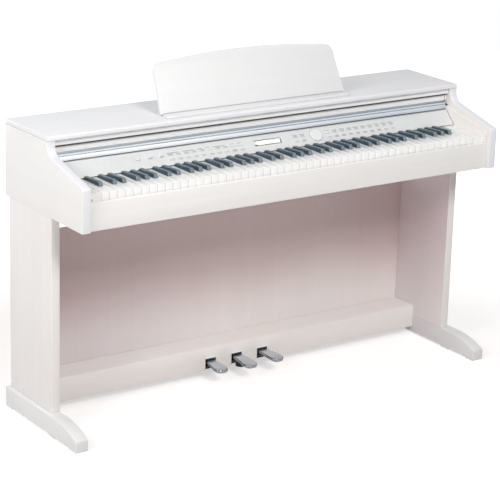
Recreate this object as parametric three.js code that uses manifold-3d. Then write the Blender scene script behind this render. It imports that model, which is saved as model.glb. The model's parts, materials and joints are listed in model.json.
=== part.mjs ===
// An electric console piano, in millimetres: X to the player's right, Y from the player to the back, Z up.
// The origin lies on the floor, under the middle of the case.
import * as THREE from "three";
import { mergeVertices } from "three/addons/utils/BufferGeometryUtils.js";
import Module from "manifold-3d";

const wasm = await Module();
wasm.setup();

// Clearances
const seat = 0.3; // between two pieces that touch
const slack = 1; // beside and between the keys
const weld = 1e-4; // vertices closer than this are one
const overrun = 5; // how far a cutting tool runs past what it cuts

// Case
const underside = 594; // height of the case's underside
const worksDepth = 162.8; // from the keys' hinge to the rear board
const arm = { thickness: 25, noseRise: 20.3, noseRadius: 9, slope: degrees(14.3), throatRadius: 32 };
const keybed = { thickness: 18 };
const slip = { setback: 10, thickness: 10, drop: 21.4 };
const lid = { thickness: 13, inset: 1, overhang: 2.5, edgeRadius: 5 };
const fascia = { thickness: 11, height: 17.2, setback: 10, coverGap: 5.8 };
const rearBoard = { thickness: 9 };

// Keyboard
const keyTop = 690; // height of the white keys' top
const key = {
  pitch: 23.5,
  length: 226,
  visible: 130,
  head: 48,
  thickness: 14,
  lip: 23,
  lipDepth: 5,
  pivot: 220,
  web: 12,
  webThickness: 6,
  travel: 10,
};
const sharp = { width: 10.5, rise: 12, setback: 49, frontRun: 4, capLength: 59, ramp: 12, sink: 1 };
const keyClearance = { tail: 0.6, web: 0.5, slip: 2.2 };
const keyBlock = { width: 35.4 };
const keyFrame = { sheet: 3, frontRail: 22, frontDrop: 27, inset: 1 };

// Key cover, drawn open
const cover = {
  thickness: 9,
  rearRoom: 12,
  railHeight: 38.6,
  railDepth: 10,
  backing: 5,
  backingRise: 2.5,
  travel: 172,
  tilt: degrees(10),
  panelGap: 4.2,
  lead: 12,
  slot: 2.5,
};
const grip = { height: 22.2, depth: 8, recess: 2, recessDrop: 3, lipDrop: 15, round: 2 };
const shaft = { radius: 5, inset: 8 };
const shoe = { radius: 3, lead: 4 };
const guide = { thickness: 6, setback: 12.5, cornerRadius: 14, stop: 5 };

// Control panel
const panel = { slope: degrees(45), length: 50.8, sheet: 3, lip: 10, shelf: 29, keyGap: 2.5 };
const button = { width: 15, depth: 5.6, proud: 1.5, web: 2, webDrop: 1.5, gap: 0.3, travel: 1 };
const display = { width: 88, depth: 17, down: 13, sheet: 2, recess: 0.8 };
const dial = {
  x: 163,
  down: 21.5,
  radius: 19.5,
  height: 3,
  shaft: 4,
  edge: 1,
  dimple: 6,
  dimpleDepth: 1,
  dimpleOut: 11,
};
const fader = { width: 9, depth: 6, height: 6, stem: 2.4, slotDown: 10, slotLength: 30, down: 19.5 };
const power = { x: -415, down: 16, width: 14, depth: 14, radius: 3 };
const bankPitch = 25;
const keyBanks = {
  button_bank_left: { columns: 10, pitch: bankPitch, x: -314, rows: [19, 33.5] },
  button_bank_middle: { columns: 2, pitch: 24, x: 93, rows: [19, 33.5] },
  button_bank_right: { columns: 10, pitch: bankPitch, x: 204, rows: [19, 33.5] },
};
const faders = { slider_left: -378, slider_right: -344 };

// Music rest
const ledge = { width: 608, depth: 32, height: 6.7, setback: 22, radius: 9 };
const rest = {
  beyondLedge: 0.5,
  taper: 7.5,
  height: 153,
  heel: 6,
  thickness: 10,
  lean: degrees(26),
  crown: degrees(6.78),
  shoulder: 27.3,
  cornerRadius: 22,
  axisHeight: 4.3,
  axisOffset: 5,
  knuckle: 30,
  knuckleInset: 59.5,
};
const stay = { reach: 72, halfWidth: 118, pin: 3, foot: 4, arm: 8, ear: 6 };

// Stand
const leg = { thickness: 25, front: 161.5, back: 21 };
const foot = {
  width: 38,
  front: 10,
  back: 15,
  height: 57,
  tipHeight: 32,
  tipSlope: degrees(23),
  humpRadius: 261,
  tipRadius: 3,
  pad: 4,
  padLength: 34,
  middlePad: 132,
};
const kneeboard = { thickness: 8, top: 487 };
const pedalBox = { bottom: 21.3, height: 69, depth: 88.5, board: 12, slotWidth: 36, slotTop: 54.5 };
const pedal = {
  pitch: 89.6,
  middleX: 1.4,
  rootWidth: 30,
  leverWidth: 24,
  tipWidth: 41,
  thickness: 9,
  reach: 77,
  flare: 52,
  flareRadius: 25,
  tipRadius: 17,
  top: 45.5,
  fan: degrees(4.5),
  knuckle: 8,
  pivot: 61,
};
const pedalFrame = {
  sheet: 3,
  rib: 3,
  openingTop: 52,
  openingBottom: 29,
  height: 52,
  behind: 14,
  margin: 18,
  play: 3,
};
const leveller = { x: 37, back: 31, radius: 15, stem: 5, base: 8, edge: 1 };

// Works behind the keys
const speaker = { inset: 173.7, radius: 57, hole: 50, flange: 3, cone: 46, magnet: 30, height: 50 };
const board = { width: 260, depth: 95, sheet: 1.6, post: 3, postHeight: 8, inset: 8 };
const boardParts = {
  coil: 42,
  coilHeight: 30,
  can: 11,
  canHeight: 28,
  canCount: 3,
  canPitch: 33,
  sink: 14,
  sinkHeight: 24,
};
const sockets = {
  x: 200,
  z: 46,
  width: 190,
  height: 42,
  thickness: 8,
  depth: 5.5,
  jack: 3.4,
  jackCount: 4,
  inlet: 5.5,
  pitch: 27,
};

// Materials
const paint = new THREE.MeshStandardMaterial({ color: 0xeeedea, roughness: 0.5 });
const footPaint = new THREE.MeshStandardMaterial({ color: 0xe6e6e4, roughness: 0.55 });
const whiteKeys = new THREE.MeshStandardMaterial({ color: 0xf6f6f4, roughness: 0.25 });
const blackKeys = new THREE.MeshStandardMaterial({ color: 0x2c3740, roughness: 0.4 });
const panelPlastic = new THREE.MeshStandardMaterial({ color: 0xe9eaea, roughness: 0.45 });
const blackPlastic = new THREE.MeshStandardMaterial({ color: 0x1c1c1e, roughness: 0.6 });
const satinMetal = new THREE.MeshStandardMaterial({ color: 0xc3cdd6, roughness: 0.3, metalness: 0.8 });
const pedalMetal = new THREE.MeshStandardMaterial({ color: 0xa9aeb2, roughness: 0.35, metalness: 0.9 });
const steel = new THREE.MeshStandardMaterial({ color: 0x9fa4a8, roughness: 0.4, metalness: 0.9 });
const glass = new THREE.MeshStandardMaterial({ color: 0xf2f4ee, roughness: 0.1 });
const circuit = new THREE.MeshStandardMaterial({ color: 0x2c6b3f, roughness: 0.6 });

// Places that follow from the sizes above
const whiteCount = 52;
const keysWide = whiteCount * key.pitch;
const cheek = keyBlock.width + guide.thickness + arm.thickness + 2 * seat;
const caseWidth = keysWide + 2 * (slack + cheek);
const keysDeep = slip.setback + slip.thickness + keyClearance.slip + key.pivot;
const caseDepth = keysDeep + worksDepth + rearBoard.thickness;
const front = -caseDepth / 2;
const back = caseDepth / 2;
const armInner = caseWidth / 2 - arm.thickness;
const inside = armInner - seat;
const guideInner = inside - guide.thickness;
const keybedTop = underside + keybed.thickness;
const slipFront = front + slip.setback;
const slipBack = slipFront + slip.thickness;
const slipTop = keyTop - slip.drop;
const keyFront = slipBack + keyClearance.slip;
const panelFoot = { y: keyFront + key.visible, z: keyTop + panel.keyGap };
const panelTop = {
  y: panelFoot.y + panel.length * Math.cos(panel.slope),
  z: panelFoot.z + panel.length * Math.sin(panel.slope),
};
const railBottom = panelTop.z + cover.panelGap;
const coverTop = railBottom + cover.railHeight;
const coverFront = panelTop.y + cover.lead;
const fasciaBottom = coverTop + cover.slot;
const lidBottom = fasciaBottom + fascia.height + seat;
const lidTop = lidBottom + lid.thickness;
const fasciaFront = coverFront - fascia.coverGap;
const throat = fasciaFront - fascia.setback;
const lidFront = throat - lid.overhang;
const coverBack = back - rearBoard.thickness - cover.rearRoom;
const shaftAxis = {
  y: coverBack - shaft.inset,
  z: coverTop - cover.thickness - seat - shaft.radius,
};
const pivotY = keyFront + key.pivot;
const bedBack = back - rearBoard.thickness - seat;
const worksMiddle = (pivotY + bedBack) / 2;

function degrees(angle) {
  return (angle * Math.PI) / 180;
}

// The places of copies a pitch apart, the first one a pitch from zero.
function spaced(count, pitch) {
  return Array.from({ length: count }, (_, i) => (i + 1) * pitch);
}

// The outline through corners [a, b, radius], each corner rounded by its radius where it has one.
function outline(corners, steps = 6) {
  const points = [];
  corners.forEach(([a, b, radius = 0], i) => {
    const here = new THREE.Vector2(a, b);
    const [beforeA, beforeB] = corners.at(i - 1);
    const [afterA, afterB] = corners[(i + 1) % corners.length];
    const toBefore = new THREE.Vector2(beforeA, beforeB).sub(here).normalize();
    const toAfter = new THREE.Vector2(afterA, afterB).sub(here).normalize();
    if (!radius) {
      points.push(here);
      return;
    }
    const half = Math.acos(THREE.MathUtils.clamp(toBefore.dot(toAfter), -1, 1)) / 2;
    const centre = toBefore.clone().add(toAfter).setLength(radius / Math.sin(half)).add(here);
    const start = toBefore.clone().multiplyScalar(radius / Math.tan(half)).add(here);
    const turn = Math.sign(toAfter.cross(toBefore)) * (Math.PI - 2 * half);
    for (let step = 0; step <= steps; step++)
      points.push(start.clone().rotateAround(centre, (turn * step) / steps));
  });
  return new THREE.Shape(points);
}

// The outline of a bent sheet: its outer face follows the path and its thickness lies to the right of it.
function bentSheet(path, thickness) {
  const points = path.map(([a, b]) => new THREE.Vector2(a, b));
  const across = points.slice(1).map((point, i) => {
    const along = point.clone().sub(points[i]).normalize();
    return new THREE.Vector2(along.y, -along.x);
  });
  const inner = points.map((point, i) => {
    const before = across[Math.max(i - 1, 0)];
    const after = across[Math.min(i, across.length - 1)];
    const mitre = before.clone().add(after).multiplyScalar(thickness / (1 + before.dot(after)));
    return point.clone().add(mitre);
  });
  return new THREE.Shape([...points, ...inner.reverse()]);
}

function boxOf([x0, x1], [y0, y1], [z0, z1]) {
  const geometry = new THREE.BoxGeometry(x1 - x0, y1 - y0, z1 - z0);
  return geometry.translate((x0 + x1) / 2, (y0 + y1) / 2, (z0 + z1) / 2);
}

// An outline in Y and Z, run along X.
function runX(shape, [x0, x1]) {
  const geometry = new THREE.ExtrudeGeometry(shape, { depth: x1 - x0, bevelEnabled: false });
  const turned = new THREE.Matrix4().makeBasis(
    new THREE.Vector3(0, 1, 0),
    new THREE.Vector3(0, 0, 1),
    new THREE.Vector3(1, 0, 0),
  );
  return geometry.applyMatrix4(turned).translate(x0, 0, 0);
}

// An outline in X and Z, run along Y.
function runY(shape, [y0, y1]) {
  const geometry = new THREE.ExtrudeGeometry(shape, { depth: y1 - y0, bevelEnabled: false });
  return geometry.rotateX(Math.PI / 2).translate(0, y1, 0);
}

// An outline in X and Y, run along Z.
function runZ(shape, [z0, z1]) {
  const geometry = new THREE.ExtrudeGeometry(shape, { depth: z1 - z0, bevelEnabled: false });
  return geometry.translate(0, 0, z0);
}

function rodX(radius, [x0, x1], y, z, sides = 16) {
  const geometry = new THREE.CylinderGeometry(radius, radius, x1 - x0, sides);
  return geometry.rotateZ(Math.PI / 2).translate((x0 + x1) / 2, y, z);
}

function rodZ(radius, [z0, z1], x, y, sides = 20) {
  const geometry = new THREE.CylinderGeometry(radius, radius, z1 - z0, sides);
  return geometry.rotateX(Math.PI / 2).translate(x, y, (z0 + z1) / 2);
}

function solidOf(geometry) {
  const bare = geometry.clone();
  bare.deleteAttribute("normal");
  bare.deleteAttribute("uv");
  const merged = mergeVertices(bare, weld);
  return new wasm.Manifold(
    new wasm.Mesh({
      numProp: 3,
      vertProperties: merged.attributes.position.array,
      triVerts: new Uint32Array(merged.index.array),
    }),
  );
}

function geometryOf(solid) {
  const { vertProperties, triVerts } = solid.getMesh();
  const geometry = new THREE.BufferGeometry();
  geometry.setAttribute("position", new THREE.BufferAttribute(vertProperties, 3));
  geometry.setIndex(new THREE.BufferAttribute(triVerts, 1));
  return geometry;
}

function joined(...geometries) {
  return geometryOf(geometries.map(solidOf).reduce((whole, next) => whole.add(next)));
}

function cut(geometry, ...tools) {
  return geometryOf(tools.map(solidOf).reduce((whole, tool) => whole.subtract(tool), solidOf(geometry)));
}

function group(parent, position = [0, 0, 0], turnX = 0) {
  const made = new THREE.Group();
  made.position.set(...position);
  made.rotation.x = turnX;
  parent.add(made);
  return made;
}

function add(parent, name, geometry, material, position = [0, 0, 0]) {
  const faceted = geometry.index ? geometry.toNonIndexed() : geometry;
  faceted.computeVertexNormals();
  const mesh = new THREE.Mesh(faceted, material);
  mesh.name = name;
  mesh.position.set(...position);
  parent.add(mesh);
  return mesh;
}

function pair(parent, name, geometry, material, x, [y, z] = [0, 0]) {
  add(parent, name + "_left", geometry, material, [-x, y, z]);
  add(parent, name + "_right", geometry, material, [x, y, z]);
}

const piano = new THREE.Group();
piano.name = "electric_piano";
const whole = [-inside, inside];

// Side arms: a vertical nose, a slope, and a throat that runs up to the top board.
function sideArms(parent) {
  const noseTop = keyTop + arm.noseRise;
  const throatFoot = noseTop + (throat - front) * Math.tan(arm.slope);
  const side = outline([
    [front, underside],
    [front, noseTop, arm.noseRadius],
    [throat, throatFoot, arm.throatRadius],
    [throat, lidBottom - seat],
    [back, lidBottom - seat],
    [back, underside],
  ]);
  const half = arm.thickness / 2;
  pair(parent, "side_arm", runX(side, [-half, half]), paint, armInner + half);
}

// Boards of the case between the arms.
function caseBoards(parent) {
  const lidHalf = caseWidth / 2 - lid.inset;
  const lidSide = outline([
    [lidFront, lidBottom, lid.edgeRadius / 2],
    [lidFront, lidTop, lid.edgeRadius],
    [back, lidTop],
    [back, lidBottom],
  ]);
  add(parent, "top_board", runX(lidSide, [-lidHalf, lidHalf]), paint);

  const fasciaBack = fasciaFront + fascia.thickness;
  const fasciaBox = boxOf(whole, [fasciaFront, fasciaBack], [fasciaBottom, lidBottom - seat]);
  add(parent, "fascia_strip", fasciaBox, paint);

  const speakerX = inside - speaker.inset;
  const holes = [-1, 1].map((side) =>
    rodZ(speaker.hole, [underside - overrun, keybedTop + overrun], side * speakerX, worksMiddle, 32),
  );
  const bed = boxOf(whole, [slipBack + seat, bedBack], [underside, keybedTop]);
  add(parent, "keybed", cut(bed, ...holes), paint);
  add(parent, "key_slip", boxOf(whole, [slipFront, slipBack], [underside, slipTop]), paint);

  const socketLow = keybedTop + sockets.z;
  const window = boxOf(
    [sockets.x - seat, sockets.x + sockets.width + seat],
    [back - rearBoard.thickness - overrun, back + overrun],
    [socketLow - seat, socketLow + sockets.height + seat],
  );
  const rear = boxOf(whole, [back - rearBoard.thickness, back - seat], [underside, lidBottom - seat]);
  add(parent, "rear_board", cut(rear, window), paint);
  socketPlate(parent, socketLow);
  speakers(parent, speakerX);
  mainBoard(parent);
}

// The plate in the rear board, with its power inlet and four round sockets.
function socketPlate(parent, low) {
  const outer = back - (rearBoard.thickness - sockets.thickness) / 2;
  const plate = boxOf(
    [sockets.x, sockets.x + sockets.width],
    [outer - sockets.thickness, outer],
    [low, low + sockets.height],
  );
  const middle = low + sockets.height / 2;
  const hole = (radius, x) => {
    const drill = new THREE.CylinderGeometry(radius, radius, 2 * sockets.depth, 16);
    return drill.translate(x, outer, middle);
  };
  const jacks = spaced(sockets.jackCount, sockets.pitch).map((x) => hole(sockets.jack, sockets.x + x));
  const inlet = hole(sockets.inlet, sockets.x + sockets.width - sockets.pitch);
  add(parent, "socket_plate", cut(plate, ...jacks, inlet), blackPlastic);
}

function speakers(parent, x) {
  const { radius, flange, cone, magnet, height } = speaker;
  const profile = [
    [0, height / 2],
    [cone, 0],
    [radius, 0],
    [radius, flange],
    [cone, flange],
    [magnet, height / 2],
    [magnet, height],
    [0, height],
  ].map(([r, z]) => new THREE.Vector2(r, z));
  const basket = new THREE.LatheGeometry(profile, 24).rotateX(Math.PI / 2);
  const place = [worksMiddle, keybedTop + seat];
  pair(parent, "speaker", geometryOf(solidOf(basket)), blackPlastic, x, place);
}

// The main circuit board on its posts, with the coil, the capacitors and the heat sink as blocks.
function mainBoard(parent) {
  const { width, depth, sheet, post, postHeight, inset } = board;
  const top = postHeight + sheet;
  const corners = [-1, 1].flatMap((side) =>
    [inset, depth - inset].map((y) => rodZ(post, [0, top - sheet / 2], side * (width / 2 - inset), y, 8)),
  );
  const { coil, coilHeight, can, canHeight, canCount, canPitch, sink, sinkHeight } = boardParts;
  const canZ = [top - sheet / 2, top + canHeight];
  const cans = spaced(canCount, canPitch).map((x) => rodZ(can, canZ, x, depth / 2, 12));
  const coilBox = boxOf(
    [-width / 3, coil - width / 3],
    [inset, inset + coil],
    [top - sheet / 2, top + coilHeight],
  );
  const sinkBox = boxOf(
    [-sink, width / 3],
    [depth - inset - sink, depth - inset],
    [top - sheet / 2, top + sinkHeight],
  );
  const plate = boxOf([-width / 2, width / 2], [0, depth], [postHeight, top]);
  const all = joined(plate, ...corners, ...cans, coilBox, sinkBox);
  add(parent, "main_board", all, circuit, [0, worksMiddle - depth / 2, keybedTop + seat]);
}

// Guide plates inside the arms. Their front edge is the slope that the cover's shoes follow, and behind it
// lies the level rail of the cover's shaft.
function shoeCentre() {
  return { y: coverFront - shoe.lead, z: railBottom + shoe.lead + shoe.radius + cover.backingRise };
}

function coverClosed(point) {
  const run = point.y - shaftAxis.y;
  const rise = point.z - shaftAxis.z;
  const sine = Math.sin(cover.tilt);
  const cosine = Math.cos(cover.tilt);
  return {
    y: shaftAxis.y - cover.travel + run * cosine - rise * sine,
    z: shaftAxis.z + run * sine + rise * cosine,
  };
}

function guidePlates(parent) {
  const open = shoeCentre();
  const closed = coverClosed(open);
  const slope = Math.atan2(open.z - closed.z, open.y - closed.y);
  const below = (shoe.radius + seat) / Math.cos(slope);
  const edge = (y) => open.z - below - (open.y - y) * Math.tan(slope);
  const plateFront = front + guide.setback;
  const rail = shaftAxis.z - shaft.radius - seat;
  const stop = open.y + shoe.radius + guide.stop;
  const low = keybedTop + seat;
  const shape = outline([
    [bedBack, low],
    [bedBack, rail],
    [stop, rail],
    [stop, edge(stop)],
    [plateFront, edge(plateFront), guide.cornerRadius],
    [plateFront, slipTop + seat],
    [slipBack + seat, slipTop + seat],
    [slipBack + seat, low],
  ]);
  const half = guide.thickness / 2;
  pair(parent, "guide_plate", runX(shape, [-half, half]), paint, inside - half);
}

function keyBlocks(parent) {
  const half = keyBlock.width / 2;
  const block = boxOf([-half, half], [slipBack + seat, pivotY], [keybedTop + seat, keyTop]);
  pair(parent, "key_block", block, paint, keysWide / 2 + slack + half);
}

// Keyboard. A key's own frame starts at its front edge, level with the white keys' top.
const naturals = "CDEFGAB";
// Where a black key lies beside the joint of its two white keys, as a share of the white keys' pitch.
const sharpOffsetShares = { C: -0.1, D: 0.1, F: -0.14, G: 0, A: 0.14 };

// All keys from the lowest to the highest. A black key has the number of its left white neighbour.
function keyList() {
  const keys = [];
  for (let n = 0; n < whiteCount; n++) {
    const letter = naturals[(n + 5) % 7];
    const octave = Math.floor((n + 5) / 7);
    keys.push({ black: false, n, letter, octave });
    if (letter in sharpOffsetShares && n < whiteCount - 1) keys.push({ black: true, n, letter, octave });
  }
  return keys;
}

function jointX(n) {
  return n * key.pitch - keysWide / 2;
}

function sharpX({ n, letter }) {
  return jointX(n + 1) + sharpOffsetShares[letter] * key.pitch;
}

const keys = keyList();

// The joint side of a white key's tail: beside a black key where there is one.
function tailEdge(n, side) {
  const neighbour = keys.find((each) => each.black && each.n === (side < 0 ? n - 1 : n));
  const joint = jointX(side < 0 ? n : n + 1);
  if (!neighbour) return joint - (side * slack) / 2;
  return sharpX(neighbour) - side * (sharp.width / 2 + keyClearance.tail);
}

function whiteKey({ n }, rear) {
  const left = jointX(n) + slack / 2;
  const right = jointX(n + 1) - slack / 2;
  const plan = outline([
    [left, 0],
    [right, 0],
    [right, key.head],
    [tailEdge(n, 1), key.head],
    [tailEdge(n, 1), rear],
    [tailEdge(n, -1), rear],
    [tailEdge(n, -1), key.head],
    [left, key.head],
  ].filter(([x, y], i, all) => x !== all.at(i - 1)[0] || y !== all.at(i - 1)[1]));
  const body = runZ(plan, [-key.thickness, 0]);
  const lip = boxOf([left, right], [0, key.lipDepth], [-key.lip, -key.thickness / 2]);
  return joined(body, lip);
}

function blackKey(each, rear) {
  const x = sharpX(each);
  const capEnd = sharp.setback + sharp.capLength;
  const side = outline([
    [sharp.setback, -key.thickness],
    [sharp.setback, 0],
    [sharp.setback + sharp.frontRun, sharp.rise],
    [capEnd, sharp.rise],
    [capEnd + sharp.ramp, -sharp.sink],
    [rear, -sharp.sink],
    [rear, -key.thickness],
  ]);
  return runX(side, [x - sharp.width / 2, x + sharp.width / 2]);
}

// Keys joined at the rear: the white keys by an upper web, the black keys by a lower one.
function comb(list, black) {
  const rear = key.pivot - key.web / 2;
  const shape = black ? blackKey : whiteKey;
  const shapes = list.map((each) => shape(each, rear - keyClearance.web));
  const webLow = black ? -key.thickness : -key.thickness + key.webThickness + keyClearance.web;
  const webHigh = black ? -key.thickness + key.webThickness : 0;
  const first = list[0];
  const last = list.at(-1);
  const x0 = black ? sharpX(first) - sharp.width / 2 : jointX(first.n) + slack / 2;
  const x1 = black ? sharpX(last) + sharp.width / 2 : jointX(last.n + 1) - slack / 2;
  const tongues = list.map((each) => {
    const half = sharp.width / 2;
    const [a, b] = black
      ? [sharpX(each) - half, sharpX(each) + half]
      : [tailEdge(each.n, -1), tailEdge(each.n, 1)];
    const top = black ? webHigh : webHigh - sharp.sink;
    return boxOf([a, b], [rear - key.web, rear + key.web / 2], [webLow, top]);
  });
  return joined(...shapes, ...tongues, boxOf([x0, x1], [rear, rear + key.web], [webLow, webHigh]));
}

function keyboard(parent) {
  const frame = group(parent, [0, keyFront, keyTop]);
  const middle = keys.at(-1).octave / 2; // the octave whose keys are separate
  const parts = {
    low: keys.filter((each) => each.octave < middle),
    high: keys.filter((each) => each.octave > middle),
  };
  for (const [place, list] of Object.entries(parts)) {
    const white = list.filter((each) => !each.black);
    const black = list.filter((each) => each.black);
    add(frame, `white_keys_${place}`, comb(white, false), whiteKeys);
    add(frame, `black_keys_${place}`, comb(black, true), blackKeys);
  }
  for (const each of keys.filter((one) => one.octave === middle)) {
    const letter = each.letter.toLowerCase();
    if (each.black) add(frame, `key_${letter}_sharp`, blackKey(each, key.length), blackKeys);
    else add(frame, `key_${letter}`, whiteKey(each, key.length), whiteKeys);
  }
  const low = keybedTop + seat - keyTop;
  const sheet = bentSheet(
    [
      [key.pivot + keyFrame.sheet / 2, -key.thickness - seat],
      [key.pivot + keyFrame.sheet / 2, low],
      [keyFrame.frontRail, low],
      [keyFrame.frontRail, -keyFrame.frontDrop],
    ],
    keyFrame.sheet,
  );
  const half = keysWide / 2 - keyFrame.inset;
  add(frame, "key_frame", runX(sheet, [-half, half]), steel);
}

// Key cover: a board with a deep front rail, and a metal grip along the rail.
function keyCover(parent) {
  const gripTop = railBottom + grip.height;
  const upper = outline([
    [coverFront, coverTop, grip.round],
    [coverBack, coverTop],
    [coverBack, coverTop - cover.thickness],
    [coverFront + cover.railDepth, coverTop - cover.thickness],
    [coverFront + cover.railDepth, gripTop + seat],
    [coverFront, gripTop + seat],
  ]);
  const backingFront = coverFront + grip.recess;
  const backing = boxOf(
    [seat - guideInner, guideInner - seat],
    [backingFront, backingFront + cover.backing],
    [railBottom + cover.backingRise, coverTop - cover.thickness / 2],
  );
  const wide = [seat - inside, inside - seat];
  add(parent, "key_cover", joined(runX(upper, wide), backing), paint);

  const behind = backingFront - seat;
  const lipFront = coverFront - grip.depth;
  const section = outline([
    [behind, railBottom],
    [behind, gripTop],
    [coverFront, gripTop],
    [coverFront + grip.recess / 2, gripTop - grip.recessDrop],
    [coverFront - grip.depth / 2, gripTop - grip.lipDrop + grip.recessDrop / 2],
    [lipFront, gripTop - grip.lipDrop, grip.round],
    [lipFront, railBottom, grip.round],
  ]);
  add(parent, "cover_grip", runX(section, [seat - guideInner, guideInner - seat]), satinMetal);

  const rod = rodX(shaft.radius, [seat - inside, inside - seat], shaftAxis.y, shaftAxis.z);
  add(parent, "cover_shaft", rod, steel);

  const { y, z } = shoeCentre();
  const half = (guide.thickness - seat) / 2;
  const disc = rodX(shoe.radius, [-half, half], 0, 0, 20);
  pair(parent, "cover_shoe", disc, blackPlastic, guideInner + half, [y, z]);
}

// Control panel, in a frame that starts at its top edge: Y up the slope, Z out of the face.
function controls(parent) {
  const face = group(parent, [0, panelTop.y, panelTop.z], panel.slope);
  // A level run and a rise, in the panel's own frame.
  const level = (run, rise) => [
    run * Math.cos(panel.slope) + rise * Math.sin(panel.slope),
    rise * Math.cos(panel.slope) - run * Math.sin(panel.slope),
  ];
  const [lipY, lipZ] = level(panel.lip, 0);
  const section = bentSheet(
    [
      [-panel.length + lipY, lipZ],
      [-panel.length, 0],
      [0, 0],
      level(panel.shelf, 0),
    ],
    panel.sheet,
  );
  const panelX = [seat - guideInner, guideInner - seat];
  const through = [-panel.sheet - overrun, overrun];
  const opening = (x, down, width, depth) =>
    boxOf([x - width / 2, x + width / 2], [-down - depth / 2, -down + depth / 2], through);
  const tools = [];

  const caps = {};
  for (const [name, { columns, pitch, x, rows }] of Object.entries(keyBanks)) {
    const places = Array.from({ length: columns }, (_, i) => x + i * pitch);
    caps[name] = rows.flatMap((down) => places.map((at) => ({ x: at, down })));
    const holes = [button.width + 2 * button.gap, button.depth + 2 * button.gap];
    for (const cap of caps[name]) tools.push(opening(cap.x, cap.down, ...holes));
  }
  tools.push(opening(power.x, power.down, power.width + 2 * button.gap, power.depth + 2 * button.gap));
  const displayMiddle = display.down + display.depth / 2;
  tools.push(opening(0, displayMiddle, display.width + 2 * seat, display.depth + 2 * seat));
  tools.push(rodZ(dial.shaft + seat, through, dial.x, -dial.down));
  const slotMiddle = fader.slotDown + fader.slotLength / 2;
  const slotWidth = fader.stem + 2 * seat;
  for (const x of Object.values(faders)) tools.push(opening(x, slotMiddle, slotWidth, fader.slotLength));
  add(face, "control_panel", cut(runX(section, panelX), ...tools), panelPlastic);

  const webTop = -panel.sheet - button.webDrop;
  for (const [name, list] of Object.entries(caps)) {
    const bodies = list.map(({ x, down }) =>
      boxOf(
        [x - button.width / 2, x + button.width / 2],
        [-down - button.depth / 2, -down + button.depth / 2],
        [webTop - button.web / 2, button.proud],
      ),
    );
    const first = list[0];
    const last = list.at(-1);
    const web = boxOf(
      [first.x - button.width / 2, last.x + button.width / 2],
      [-last.down - button.depth / 2, -first.down + button.depth / 2],
      [webTop - button.web, webTop],
    );
    add(face, name, joined(web, ...bodies), panelPlastic);
  }
  const corner = power.radius;
  const [px, py] = [power.width / 2, power.depth / 2];
  const cap = outline([
    [-px, -py, corner],
    [px, -py, corner],
    [px, py, corner],
    [-px, py, corner],
  ], 3);
  add(face, "power_button", runZ(cap, [webTop, button.proud]), panelPlastic, [power.x, -power.down, 0]);

  const windowX = [-display.width / 2, display.width / 2];
  const windowTop = -display.recess;
  const windowY = [-display.down - display.depth, -display.down];
  const pane = boxOf(windowX, windowY, [windowTop - display.sheet, windowTop]);
  add(face, "display_window", pane, glass);
  dataDial(face);

  const knob = joined(
    boxOf([-fader.width / 2, fader.width / 2], [-fader.depth / 2, fader.depth / 2], [seat, fader.height]),
    boxOf([-fader.stem / 2, fader.stem / 2], [-fader.stem / 2, fader.stem / 2], [webTop, fader.height / 2]),
  );
  for (const [name, x] of Object.entries(faders)) add(face, name, knob, panelPlastic, [x, -fader.down, 0]);
}

// The dial has a finger dimple near its rim.
function dataDial(face) {
  const { radius, height, edge } = dial;
  const profile = [
    [0, -panel.sheet - button.webDrop],
    [dial.shaft, -panel.sheet - button.webDrop],
    [dial.shaft, seat],
    [radius, seat],
    [radius, height - edge],
    [radius - edge, height],
    [0, height],
  ].map(([r, z]) => new THREE.Vector2(r, z));
  const knob = new THREE.LatheGeometry(profile, 32).rotateX(Math.PI / 2);
  const dimple = rodZ(dial.dimple, [height - dial.dimpleDepth, height + overrun], dial.dimpleOut, 0, 16);
  add(face, "data_dial", cut(knob, dimple), panelPlastic, [dial.x, -dial.down, 0]);
}

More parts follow.
